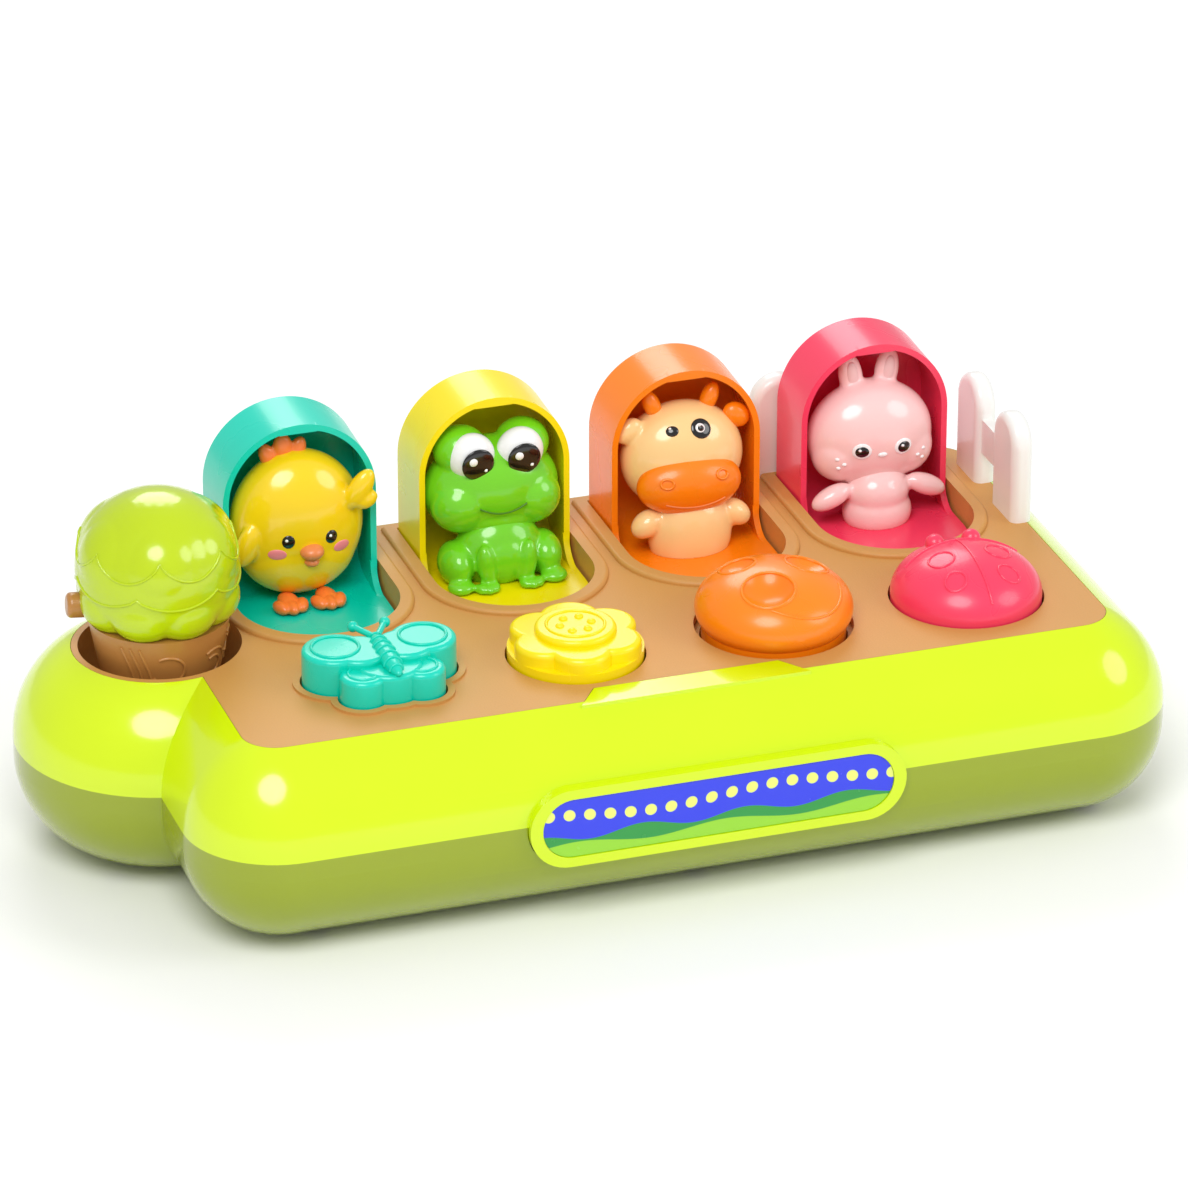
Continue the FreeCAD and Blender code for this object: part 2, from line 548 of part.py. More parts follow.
pins = []
for i, x in enumerate(channelX):
    animal = names[i]
    part(f"{animal}_hood", feature(f"{animal}_hood", hoodShape(x)))
    start = x - leftLug - s.lugThickness
    pins.append(cylinder(f"pin_{i}", (start, hingeY, hingeZ), "pinRadius",
                         "2 * hoodHalf + springRoom + 1.3 + 2 * lugThickness", FreeCAD.Rotation(Vector(0, 1, 0), 90)))
    coilStart = x - s.hoodHalf - 1.2
    coil = helix(Vector(coilStart, hingeY, hingeZ), Vector(-1, 0, 0), s.pinRadius + s.runGap * 2 + s.hingeWire, s.hingeWire,
                 s.springRoom - 1.6, s.hingeTurns)
    part(f"{animal}_hinge_spring", feature(f"{animal}_hinge_spring", coil))
part("hinge_pins", joined("hinge_pins", pins))


# Latch deck and the four latches that hold the hoods shut
deckPlate = solidBox(deckLeft, deckRight, deckFront, deckRear, deckUnder, deckTop)
railTop = deckTop + s.gap + s.latchThickness + s.gap
tabY = deckRear - 5.6
springRear = tabY - 8.5
latchHalf = s.latchWidth / 2
railGap = s.fitGap
wedgeReach = s.stemRadius + 0.4
wedgeRun = 5.0
rampEnd = buttonY + wedgeReach + s.gap + wedgeRun + 2.6
railStart = rampEnd + s.buttonTravel + 2 * s.gap
deckPieces = [deckPlate]
for x in channelX:
    for side in (-1, 1):
        edge = x + side * (latchHalf + railGap)
        wall = sorted((edge, edge + side * 2))
        lipped = sorted((edge - side * 1.2, edge + side * 2))
        deckPieces.append(solidBox(wall[0], wall[1], railStart, deckRear - 1, deckTop - 0.5, railTop + 1.2))
        deckPieces.append(solidBox(lipped[0], lipped[1], railStart, deckRear - 1, railTop, railTop + 1.2))
    deckPieces.append(solidBox(x - 1.2, x + 1.2, tabY, tabY + 1.5, deckTop - 0.5, deckTop + s.latchThickness))
deck = fused(deckPieces)
for x in buttonX:
    deck = deck.cut(post(x, buttonY, deckUnder - 1, deckTop + 1, s.stemRadius + s.runGap))
for x, y in deckPosts:
    deck = deck.cut(post(x, y, deckUnder - 1, deckTop + 1, s.screwRadius + s.fitGap))
part("latch_deck", feature("latch_deck", deck))
screwGroup("deck_screws", deckPosts, deckTop, deckUnder - 10)

closedLipTop = hingeZ - s.hingeBack + s.lipDepth
closedLipEdge = hingeY - (s.panelTop + s.hoodSide + s.hoodHalf - s.hoodDraft - s.hoodWall - s.lipDrop - hingeZ)
barLow = deckTop + s.gap
barTop = barLow + s.latchThickness
wedgeLow = deckTop + s.buttonTravel + 0.4
camRadius = 5.5
camOffset = s.buttonTravel / math.sin(math.radians(s.flowerTurn))


def latchShape(i):
    x = channelX[i]
    armY = closedLipEdge + s.gap
    noseTop = closedLipTop + 0.2 + 1.0
    if i == 1:
        rear = buttonY + camRadius + s.gap
        outline = [(rear, barLow), (rear, barTop)]
    else:
        rear = buttonY + wedgeReach + s.gap
        outline = [(rear, barLow), (rear, wedgeLow - 0.1), (rear + wedgeRun + 0.2, wedgeLow + wedgeRun + 0.1),
                   (rampEnd, wedgeLow + wedgeRun + 0.1), (rampEnd, barTop)]
    outline += [(armY, barTop), (armY, noseTop - 1.0), (closedLipEdge - s.hookBite, noseTop - 1.0),
                (closedLipEdge - s.hookBite, noseTop - 0.6), (armY, noseTop), (armY + 1.4, noseTop), (armY + 1.4, barLow)]
    points = [Vector(x - latchHalf, y, z) for y, z in outline]
    edges = [line(points[k], points[(k + 1) % len(points)]) for k in range(len(points))]
    latch = Part.Face(Part.Wire(edges)).extrude(Vector(s.latchWidth, 0, 0))
    if i == 1:
        latch = fused([latch, solidBox(x - latchHalf, x + latchHalf + 4.0, rear, rear + 3.5, barLow, barTop)])
    window = solidBox(x - 1.9, x + 1.9, springRear, tabY + 2.0, barLow - 1, barTop + 1)
    latch = latch.cut(window)
    for side in (-1, 1):
        flank = sorted((x + side * 3.5, x + side * 9))
        latch = latch.cut(solidBox(flank[0], flank[1], armY - 4, armY, barTop + 0.5, noseTop + 1))
    return latch


for i, animal in enumerate(names):
    part(f"{animal}_latch", feature(f"{animal}_latch", latchShape(i)))
    room = tabY - springRear - 2 * (s.latchWire + 0.1)
    start = Vector(channelX[i], springRear + s.latchWire + 0.1, barLow + s.latchThickness / 2)
    coil = helix(start, Vector(0, 1, 0), 1.15, s.latchWire, room, s.latchTurns)
    part(f"{animal}_latch_spring", feature(f"{animal}_latch_spring", coil))


# Buttons
stemEnd = deckUnder - s.gap


def roundedPost(x, y, z0, z1, radius, round):
    body = post(x, y, z0, z1, radius)
    return body.makeFillet(round, [edge for edge in body.Edges if edge.BoundBox.ZMin > z1 - 0.01])


def stem(x, top):
    shaft = post(x, buttonY, stemEnd, top, s.stemRadius)
    corners = [(0, wedgeLow), (wedgeReach, wedgeLow), (wedgeReach + wedgeRun, wedgeLow + wedgeRun),
               (wedgeReach + wedgeRun, wedgeLow + wedgeRun + 1), (0, wedgeLow + wedgeRun + 1)]
    points = [Vector(x - 2, buttonY + y, z) for y, z in corners]
    edges = [line(points[k], points[(k + 1) % 5]) for k in range(5)]
    return fused([shaft, Part.Face(Part.Wire(edges)).extrude(Vector(4, 0, 0))])


def drilled(shape, x):
    return shape.cut(post(x, buttonY, stemEnd - 1, stemEnd + 9, s.screwRadius + s.runGap))


skirt = underPanel - s.buttonTravel - 1.5


def butterflyButton(x):
    discs = butterflyOutline(0, x)
    tops = [s.butterflyHeight] * 4 + [s.butterflyHeight - 2.6] * 2 + [s.butterflyHeight - 2.0]
    solid = fused([roundedPost(cx, cy, skirt, s.panelTop + top, r, 1.4) for (cx, cy, r), top in zip(discs, tops)])
    room = fused([post(cx, cy, skirt - 1, s.panelTop + top - s.capWall - 1.4, r - s.capWall)
                  for (cx, cy, r), top in zip(discs, tops)])
    crown = s.panelTop + s.butterflyHeight
    trim = [ball(x, buttonY - 3, crown - 1.2, 2.8, 13.0, 2.8)]
    for side in (-1, 1):
        tip = Vector(x + side * 4.6, buttonY + 13.0, crown + 0.6)
        root = Vector(x + side * 0.8, buttonY + 7.0, crown)
        trim.append(Part.makeCylinder(0.9, (tip - root).Length, root, tip - root))
        trim.append(Part.makeSphere(1.6, tip))
    return drilled(fused([solid.cut(room), stem(x, crown - 3)] + trim), x)


def flowerKnob(x):
    top = s.panelTop + s.flowerHeight
    petals = []
    for k in range(6):
        angle = math.radians(60 * k + 20)
        petals.append(roundedPost(x + 10.4 * math.cos(angle), buttonY + 10.4 * math.sin(angle),
                                  s.panelTop + 1, top, 8.8, 1.6))
    base = post(x, buttonY, skirt + 2, s.panelTop + 2.5, s.flowerRadius)
    solid = fused([base, roundedPost(x, buttonY, s.panelTop, top + 2.0, 11.5, 1.2)] + petals)
    solid = solid.cut(post(x, buttonY, skirt, s.panelTop + 0.6, s.flowerRadius - s.capWall))
    cam = post(x + camOffset, buttonY, barLow, barTop, camRadius)
    return drilled(fused([solid, post(x, buttonY, stemEnd, top, s.stemRadius), cam]), x)


def orangeButton(x):
    widest = s.panelTop + 5.5
    dome = ball(x, buttonY, widest, s.orangeRadius, s.orangeRadius, s.orangeHeight - 5.5)
    dome = dome.common(slab(s.panelTop, s.panelTop + s.orangeHeight + 1))
    for dx, dy, radius, depth in ((-6.0, -11.0, 10.5, 3.6), (12.5, 3.0, 9.5, 2.6), (-9.5, 9.0, 8.0, 2.2)):
        reach = math.hypot(dx, dy) / s.orangeRadius
        level = widest + (s.orangeHeight - 5.5) * math.sqrt(1 - reach ** 2)
        dome = dome.cut(Part.makeSphere(radius, Vector(x + dx, buttonY + dy, level - depth + radius)))
    base = post(x, buttonY, skirt, s.panelTop + 0.5, s.orangeRadius - 1.9)
    solid = fused([dome, base]).cut(post(x, buttonY, skirt - 1, s.panelTop + 3, s.orangeRadius - 4.5))
    return drilled(fused([solid, stem(x, s.panelTop + 5)]), x)


def pinkButton(x):
    dome = ball(x, buttonY, s.panelTop + 1, s.pinkRadius, s.pinkRadius, s.pinkHeight - 1)
    dome = dome.common(slab(s.panelTop + 1, s.panelTop + s.pinkHeight + 1))
    base = post(x, buttonY, skirt, s.panelTop + 1, s.pinkRadius)
    knobs = [Part.makeSphere(2.8, Vector(x + side * 5.5, buttonY + 11.0, s.panelTop + s.pinkHeight - 2.6)) for side in (-1, 1)]
    room = post(x, buttonY, skirt - 1, s.panelTop + 4, s.pinkRadius - 2.4)
    return drilled(fused([fused([dome, base] + knobs).cut(room), stem(x, s.panelTop + 6)]), x)


buttonNames = ["butterfly", "flower", "orange", "pink"]
buttonKinds = ["butterfly_button", "flower_knob", "orange_button", "pink_button"]
makers = [butterflyButton, flowerKnob, orangeButton, pinkButton]
for name, kind, make, x in zip(buttonNames, buttonKinds, makers, buttonX):
    part(kind, feature(kind, make(x)))
    washer = primitive("Part::Cylinder", f"{name}_washer", (x, buttonY, stemEnd - 1), None, Radius="stemRadius + 2.4")
    washer.Height = 1.0
    pieces = [washer] + screw(f"{name}_fixing", x, buttonY, stemEnd - 1, stemEnd + 8)
    part(f"{name}_stem_screw", joined(f"{name}_stem_screw", pieces))
    if name != "flower":
        low, high = insideFloor + s.buttonWire + 0.05, stemEnd - 1 - s.buttonWire - 0.05
        coil = helix(Vector(x, buttonY, low), Vector(0, 0, 1), s.stemRadius + 0.9, s.buttonWire, high - low, s.buttonTurns)
        part(f"{name}_spring", feature(f"{name}_spring", coil))


# Tree that spins in its bowl
canopyMid = s.panelTop + s.canopyLift + s.canopyHeight - 21.5
trunkTopZ = s.panelTop + s.canopyLift
bowlFloor = s.panelTop - s.bowlDepth + s.bowlWall
trunk = Part.makeCone(s.trunkFoot, s.trunkTop, trunkTopZ - bowlFloor - s.gap, Vector(lobe.x, lobe.y, bowlFloor + s.gap))
branch = Part.makeCylinder(3.6, 26.0, Vector(lobe.x, lobe.y, trunkTopZ + 3.4), Vector(-1, 0.1, 0.06))
branch = branch.makeFillet(1.4, [branch.Edges[0]])
canopy = ball(lobe.x, lobe.y, canopyMid, s.canopyRadius, s.canopyRadius, 21.5)
canopy = canopy.common(slab(trunkTopZ, s.panelTop + 60))
trunk = fused([trunk, branch])
canopy = canopy.cut(trunk)
spindleTop = trunkTopZ - 6
trunk = trunk.cut(post(lobe.x, lobe.y, bowlFloor - 1, spindleTop, s.spindleRadius))
spindle = cylinder("spindle", (lobe.x, lobe.y, insideFloor + 2.2), "spindleRadius",
                   "panelTop + canopyLift - 6 - shellBottom - wall - 2.2")
retainer = post(lobe.x, lobe.y, socketTop + 0.4, bowlFloor - s.bowlWall - s.gap, s.spindleRadius + 3)
part("tree_trunk", feature("tree_trunk", trunk))
part("tree_canopy", feature("tree_canopy", canopy))
part("tree_spindle", spindle)
part("tree_retainer", feature("tree_retainer", retainer.cut(post(lobe.x, lobe.y, 0, 80, s.spindleRadius))))


# Animals, each standing on its hood's floor
animalY = hoodY + 4.4
bodyY = hoodY - 3.4
below = slab(0, floorZ)


def onFloor(shape):
    return shape.cut(below)


def sideways(make):
    return [make(side) for side in (-1, 1)]


x = channelX[0]
chickMid = floorZ + s.chickTall / 2
chick = ball(x, animalY, chickMid, s.chickWidth, 12.5, s.chickTall / 2 + 0.2)
wings = [ball(x + 16.0, hoodY - 4.6, chickMid + 9.5, 4.0, 3.2, 7.0), ball(x - 15.5, hoodY - 4.0, chickMid - 2, 3.6, 3.4, 7.0)]
chick = onFloor(fused([chick] + wings))
comb = fused([ball(x + dx, animalY + 1.6, floorZ + s.chickTall + dz, 2.7, 1.6, 4.2) for dx, dz in ((-6, -1), (-2, 0.4), (2, -0.6))])
beak = fused([ball(x, animalY - 12.4, chickMid - 2.2, 3.6, 3.6, 2.3), ball(x, animalY - 11.8, chickMid - 5.4, 2.6, 3.0, 1.7)])
chickFeet = sideways(lambda side: fused([ball(x + side * 5.8, bodyY - 3.4, floorZ + 1.2, 4.6, 4.6, 2.4)]))
part("chick_body", feature("chick_body", chick))
part("chick_comb", feature("chick_comb", comb.cut(chick)))
part("chick_beak", feature("chick_beak", beak.cut(chick)))
part("chick_feet", feature("chick_feet", onFloor(Part.makeCompound(chickFeet)).cut(chick)))

x = channelX[1]
frogMid = floorZ + s.frogLift + 2
frogHead = ball(x, animalY, frogMid, s.frogHead, 12.5, s.frogHeadTall + 1.4)
brows = sideways(lambda side: ball(x + side * 8.8, animalY - 1.5, frogMid + 13.4, 7.4, 7.0, 6.8))
frogHead = fused([frogHead] + brows)
eyes = sideways(lambda side: ball(x + side * 7.6, animalY - 6.4, frogMid + 11.8, s.eyeRadius, 4.4, s.eyeRadius - 0.4))
frogBody = [ball(x, bodyY, floorZ + 5, s.frogBody - 2, 9.0, 13.0)]
frogBody += sideways(lambda side: ball(x + side * 12.8, bodyY - 1, floorZ + 4, 5.0, 8.0, 6.0))
frogBody += sideways(lambda side: ball(x + side * 6.0, bodyY - 9, floorZ + 1.6, 3.6, 5.0, 3.4))
part("frog_head", feature("frog_head", frogHead))
part("frog_eyes", feature("frog_eyes", Part.makeCompound(eyes).cut(frogHead)))
part("frog_body", feature("frog_body", onFloor(fused(frogBody)).cut(frogHead)))

x = channelX[2]
calfMid = floorZ + s.calfLift + 3.5
calfHead = [ball(x, animalY, calfMid, s.calfHead, 12.3, s.calfHeadTall - 1.5)]
calfHead += sideways(lambda side: ball(x + side * 15.6, animalY - 1.5, calfMid + 11.0, 4.0, 3.0, 4.6))
calfHead = fused(calfHead)
muzzle = ball(x, animalY - 8.6, calfMid - 5.2, s.muzzleWidth, 8.0, s.muzzleTall)
horns = sideways(lambda side: ball(x + side * 9.4, animalY + 1.0, calfMid + 17.0, 2.8, 2.8, 4.8))
calfBody = [ball(x, bodyY, floorZ + 4, s.bodyRadius, 9.0, 15.0)]
calfBody += sideways(lambda side: ball(x + side * 14.4, bodyY - 1, floorZ + 9.0, 4.6, 4.2, 4.0))
part("calf_head", feature("calf_head", calfHead))
part("calf_muzzle", feature("calf_muzzle", muzzle.cut(calfHead)))
part("calf_horns", feature("calf_horns", Part.makeCompound(horns).cut(calfHead)))
part("calf_body", feature("calf_body", onFloor(fused(calfBody)).cut(calfHead).cut(muzzle)))

x = channelX[3]
bunnyMid = floorZ + s.bunnyLift + 1.5
bunnyHead = [ball(x, animalY, bunnyMid, s.bunnyHead, 12.3, s.bunnyHeadTall + 1.6)]
bunnyHead += sideways(lambda side: ball(x + side * 7.6, animalY + 2.2, bunnyMid + 17.0, 4.4, 2.8, 8.0))
bunnyHead = fused(bunnyHead)
bunnyBody = [post(x, bodyY, floorZ, floorZ + 16, 9.0)]
bunnyBody += sideways(lambda side: ball(x + side * 13.6, bodyY, floorZ + 9.6, 5.6, 3.8, 3.8))
part("bunny_head", feature("bunny_head", bunnyHead))
part("bunny_body", feature("bunny_body", onFloor(fused(bunnyBody)).cut(bunnyHead)))

doc.recompute()
faults = [item.Label for item in doc.Objects if "Invalid" in item.State or "Error" in item.State]
for node, item in parts.items():
    if item.Shape.isNull() or not item.Shape.isValid() or not item.Shape.Solids:
        faults.append(node)
if faults:
    raise RuntimeError("faulty pieces: " + ", ".join(faults))
for node, item in parts.items():
    box3 = item.Shape.BoundBox
    print(f"{node}: {len(item.Shape.Solids)} solids, {box3.XLength:.1f} x {box3.YLength:.1f} x {box3.ZLength:.1f}")
    item.Shape.exportStep(f"parts/{node}.step")
print(len(parts), "nodes")
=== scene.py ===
import bpy
import bmesh
import math
from mathutils import Matrix, Vector
from mathutils.bvhtree import BVHTree


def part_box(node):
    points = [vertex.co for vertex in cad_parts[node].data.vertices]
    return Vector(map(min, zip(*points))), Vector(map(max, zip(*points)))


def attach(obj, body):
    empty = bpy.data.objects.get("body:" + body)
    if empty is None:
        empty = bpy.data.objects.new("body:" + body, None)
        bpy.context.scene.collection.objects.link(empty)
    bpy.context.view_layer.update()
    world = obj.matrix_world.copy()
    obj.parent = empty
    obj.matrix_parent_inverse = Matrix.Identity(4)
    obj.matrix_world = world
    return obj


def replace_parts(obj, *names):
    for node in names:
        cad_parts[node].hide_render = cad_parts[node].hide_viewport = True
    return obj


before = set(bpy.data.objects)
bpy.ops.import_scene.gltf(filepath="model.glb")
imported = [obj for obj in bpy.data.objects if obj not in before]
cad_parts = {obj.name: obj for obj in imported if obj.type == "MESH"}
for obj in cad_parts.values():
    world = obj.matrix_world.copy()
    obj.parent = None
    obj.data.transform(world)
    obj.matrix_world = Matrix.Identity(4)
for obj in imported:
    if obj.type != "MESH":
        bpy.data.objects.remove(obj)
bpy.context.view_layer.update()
mm = 0.001
print("frame loaded:", len(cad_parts), "CAD nodes")


# shader maths on sockets

class Wave:
    # one number travelling through the node tree
    def __init__(self, tree, socket):
        self.tree = tree
        self.socket = socket

    def maths(self, operation, *values):
        node = self.tree.nodes.new("ShaderNodeMath")
        node.operation = operation
        for place, value in enumerate(values):
            if isinstance(value, Wave):
                self.tree.links.new(value.socket, node.inputs[place])
            else:
                node.inputs[place].default_value = value
        return Wave(self.tree, node.outputs[0])

    def __add__(self, other):
        return self.maths("ADD", self, other)

    def __radd__(self, other):
        return self.maths("ADD", other, self)

    def __sub__(self, other):
        return self.maths("SUBTRACT", self, other)

    def __rsub__(self, other):
        return self.maths("SUBTRACT", other, self)

    def __mul__(self, other):
        return self.maths("MULTIPLY", self, other)

    def __rmul__(self, other):
        return self.maths("MULTIPLY", other, self)

    def __truediv__(self, other):
        return self.maths("DIVIDE", self, other)

    def power(self, exponent):
        return self.maths("POWER", self, exponent)

    def sine(self):
        return self.maths("SINE", self)

    def clip(self):
        node = self.tree.nodes.new("ShaderNodeClamp")
        self.tree.links.new(self.socket, node.inputs[0])
        return Wave(self.tree, node.outputs[0])

    def below(self, edge, softness):
        # 1 where the number is under the edge, 0 above it, with a soft step between
        return ((edge - self) / softness + 0.5).clip()


class Finish:
    # a material with its main shader and helpers for the nodes around it
    def __init__(self, name):
        self.material = bpy.data.materials.new(name)
        self.material.use_nodes = True
        self.tree = self.material.node_tree
        self.shader = self.tree.nodes["Principled BSDF"]

    def node(self, kind, settings=None, **inputs):
        made = self.tree.nodes.new(kind)
        for key, value in (settings or {}).items():
            setattr(made, key, value)
        for key, value in inputs.items():
            self.plug(made.inputs[key.replace("_", " ")], value)
        return made

    def plug(self, socket, value):
        if isinstance(value, Wave):
            self.tree.links.new(value.socket, socket)
        elif isinstance(value, bpy.types.NodeSocket):
            self.tree.links.new(value, socket)
        else:
            socket.default_value = value

    def place(self):
        # object coordinates as three numbers
        where = self.node("ShaderNodeTexCoord")
        split = self.node("ShaderNodeSeparateXYZ", Vector=where.outputs["Object"])
        return [Wave(self.tree, split.outputs[axis]) for axis in range(3)]

    def noise(self, scale, detail=2.0):
        where = self.node("ShaderNodeTexCoord")
        made = self.node("ShaderNodeTexNoise", Vector=where.outputs["Object"], Scale=scale, Detail=detail)
        return Wave(self.tree, made.outputs[0])

    def mix(self, mask, low, high):
        made = self.node("ShaderNodeMix", {"data_type": "RGBA"})
        self.plug(made.inputs[0], mask)
        self.plug(made.inputs[6], low)
        self.plug(made.inputs[7], high)
        return made.outputs[2]

    def bump(self, height, strength, depth):
        made = self.node("ShaderNodeBump", Height=height, Strength=strength, Distance=depth)
        self.plug(self.shader.inputs["Normal"], made.outputs[0])


def paint(red, green, blue):
    # screen colour in 0..255 to the linear colour that a shader takes
    def linear(value):
        value /= 255
        return value / 12.92 if value <= 0.04045 else ((value + 0.055) / 1.055) ** 2.4
    return (linear(red), linear(green), linear(blue), 1.0)


def shade(colour, factor):
    return tuple(channel * factor for channel in colour[:3]) + (1.0,)


def moulded(name, colour, rough=0.28, coat=0.15, grain=0.02, grainSize=900):
    # injection-moulded plastic: slow flow marks in colour and gloss, fine skin in the bump
    made = Finish(name)
    flow = made.noise(38, 3)
    made.plug(made.shader.inputs["Base Color"], made.mix(flow, shade(colour, 0.94), colour))
    made.plug(made.shader.inputs["Roughness"], flow * 0.1 + (rough - 0.05))
    made.shader.inputs["Coat Weight"].default_value = coat
    made.shader.inputs["Coat Roughness"].default_value = 0.08
    made.bump(made.noise(grainSize, 2), grain, 0.0004)
    return made.material


def plated(name, colour, rough=0.3):
    # zinc-plated steel with drawn streaks
    made = Finish(name)
    streak = made.noise(420, 4)
    made.plug(made.shader.inputs["Base Color"], made.mix(streak, shade(colour, 0.8), colour))
    made.plug(made.shader.inputs["Roughness"], streak * 0.2 + rough - 0.1)
    made.shader.inputs["Metallic"].default_value = 1.0
    return made.material


def panelPlastic(name, colour):
    # fine spark-eroded texture of the matt top panel
    made = Finish(name)
    fleck = made.noise(1500, 3)
    broad = made.noise(22, 2)
    mottle = fleck * 0.5 + broad * 0.5
    made.plug(made.shader.inputs["Base Color"], made.mix(mottle, shade(colour, 0.86), shade(colour, 1.06)))
    made.plug(made.shader.inputs["Roughness"], fleck * 0.16 + 0.42)
    made.bump(fleck, 0.25, 0.00025)
    return made.material


def labelPrint(name):
    # plain printed strip: blue ground, two green hill waves and a row of lime dots
    strip = {"ground": paint(35, 55, 230), "far": paint(30, 150, 60), "near": paint(150, 215, 40),
             "dots": paint(235, 245, 120), "pitch": 0.0118, "dotSize": 0.0017}
    low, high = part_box("front_label")
    middle = (low + high) / 2
    made = Finish(name)
    x, y, z = made.place()
    across, up = x - middle.x, z - middle.z
    farHill = (across * 210).sine() * 0.0012 - 0.0028
    nearHill = (across * 145 + 1.3).sine() * 0.0011 - 0.0055
    cell = across.maths("PINGPONG", across + 0.2, strip["pitch"] / 2) - strip["pitch"] / 4
    wave = (across * 90).sine() * 0.0012 + 0.0032
    reach = ((cell * cell) + (up - wave) * (up - wave)).power(0.5)
    colour = made.mix(reach.below(strip["dotSize"], 0.0002), strip["ground"], strip["dots"])
    colour = made.mix((up - farHill).below(0.0, 0.0002), colour, strip["far"])
    colour = made.mix((up - nearHill).below(0.0, 0.0002), colour, strip["near"])
    made.plug(made.shader.inputs["Base Color"], colour)
    made.plug(made.shader.inputs["Roughness"], made.noise(300, 2) * 0.1 + 0.2)
    made.shader.inputs["Coat Weight"].default_value = 0.4
    return made.material


colours = {
    "lime": paint(214, 240, 0), "olive": paint(150, 166, 0), "tan": paint(207, 152, 80),
    "teal": paint(0, 214, 188),
    "yellow": paint(255, 230, 0), "orange": paint(255, 135, 10), "coral": paint(248, 62, 98),
    "white": paint(244, 244, 240), "chick": paint(255, 215, 20), "comb": paint(255, 130, 55),
    "beak": paint(240, 140, 80), "blush": paint(250, 140, 150), "frog": paint(118, 214, 30),
    "cream": paint(255, 213, 146), "bunny": paint(255, 210, 208), "canopy": paint(190, 215, 0),
    "trunk": paint(185, 128, 64), "ink": paint(18, 14, 16), "mould": paint(205, 205, 198),
    "steel": paint(190, 192, 196), "rubber": paint(210, 208, 200),
}
plastics = {
    "lime": moulded("lime casing plastic", colours["lime"], 0.16, 0.5),
    "olive": moulded("olive casing plastic", colours["olive"], 0.16, 0.5),
    "teal": moulded("teal plastic", colours["teal"]),
    "yellow": moulded("yellow plastic", colours["yellow"]),
    "orange": moulded("orange plastic", colours["orange"]),
    "coral": moulded("coral plastic", colours["coral"]),
    "white": moulded("white fence plastic", colours["white"], 0.25),
    "chick": moulded("chick yellow plastic", colours["chick"], 0.18, 0.5),
    "comb": moulded("chick comb plastic", colours["comb"]),
    "beak": moulded("beak paint", colours["beak"], 0.3, 0.2),
    "blush": moulded("cheek paint", colours["blush"], 0.3, 0.2),
    "frog": moulded("frog green plastic", colours["frog"], 0.18, 0.5),
    "frogLine": moulded("frog mouth paint", shade(colours["frog"], 0.35), 0.35, 0.1),
    "cream": moulded("calf cream plastic", colours["cream"], 0.2, 0.45),
    "bunny": moulded("bunny pink plastic", colours["bunny"], 0.2, 0.45),
    "bunnyEar": moulded("bunny ear paint", shade(colours["bunny"], 0.86), 0.3, 0.2),
    "canopy": moulded("tree leaf plastic", colours["canopy"], 0.2, 0.5),
    "trunk": moulded("tree bark plastic", colours["trunk"], 0.32, 0.2, 0.05, 500),
    "ink": moulded("black eye paint", colours["ink"], 0.12, 0.6),
    # white paint of the eyes, rims, nose and freckles; the same white also makes the dots on the eyes that
    # are painted highlights
    "whitePaintAndHighlights": moulded("white paint and painted eye highlights", paint(250, 250, 250), 0.12, 0.6),
    "mould": moulded("inner grey plastic", colours["mould"], 0.4, 0.0, 0.05),
    "rubber": moulded("foot rubber", colours["rubber"], 0.7, 0.0, 0.2, 1400),
    "steel": plated("plated steel", colours["steel"]),
    "tan": panelPlastic("tan panel plastic", colours["tan"]),
    "label": labelPrint("printed label"),
}
print("materials ready:", len(plastics))


# finishes of the CAD nodes

nodeFinish = {
    "upper_housing": "lime", "lower_housing": "olive", "top_panel": "tan", "front_label": "label",
    "foot_pads": "rubber", "fence_side": "white", "fence_back": "white", "latch_deck": "mould",
    "tree_spindle": "mould", "tree_retainer": "mould", "tree_canopy": "canopy", "tree_trunk": "trunk",
    "chick_hood": "teal", "frog_hood": "yellow", "calf_hood": "orange", "bunny_hood": "coral",
    "butterfly_button": "teal", "flower_knob": "yellow", "orange_button": "orange", "pink_button": "coral",
    "chick_body": "chick", "chick_comb": "comb", "chick_beak": "beak", "chick_feet": "comb",
    "frog_head": "frog", "frog_body": "frog", "frog_eyes": "whitePaintAndHighlights", "calf_head": "cream",
    "calf_muzzle": "orange", "calf_horns": "orange", "calf_body": "cream", "bunny_head": "bunny",
    "bunny_body": "bunny",
}
for nodeName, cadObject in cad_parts.items():
    finishName = nodeFinish.get(nodeName)
    if finishName is None:
        finishName = "mould" if nodeName.endswith("_latch") else "steel"
    cadObject.data.materials.clear()
    cadObject.data.materials.append(plastics[finishName])
print("CAD nodes finished")


# modelling helpers, sizes in millimetres

def tidy(shape, name, finish, body, smooth=True):
    mesh = bpy.data.meshes.new(name)
    shape.to_mesh(mesh)
    shape.free()
    made = bpy.data.objects.new(name, mesh)
    bpy.context.scene.collection.objects.link(made)
    mesh.materials.append(plastics[finish])
    for face in mesh.polygons:
        face.use_smooth = smooth
    if body:
        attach(made, body)
    return made


def addBall(shape, centre, radii, lean=0.0, turn=0.0):
    # lean tips the ball sideways about Y, turn swings it about Z, in degrees
    verts = bmesh.ops.create_icosphere(shape, subdivisions=4, radius=1.0)["verts"]
    bmesh.ops.scale(shape, vec=Vector(radii) * mm, verts=verts)
    spin = Matrix.Rotation(math.radians(turn), 3, "Z") @ Matrix.Rotation(math.radians(lean), 3, "Y")
    bmesh.ops.rotate(shape, cent=(0, 0, 0), matrix=spin, verts=verts)
    bmesh.ops.translate(shape, vec=Vector(centre) * mm, verts=verts)


def settle(made):
    # keep the shape that the live modifiers give, as a plain mesh
    graph = bpy.context.evaluated_depsgraph_get()
    finished = bpy.data.meshes.new_from_object(made.evaluated_get(graph))
    made.modifiers.clear()
    made.data = finished
    for face in finished.polygons:
        face.use_smooth = True


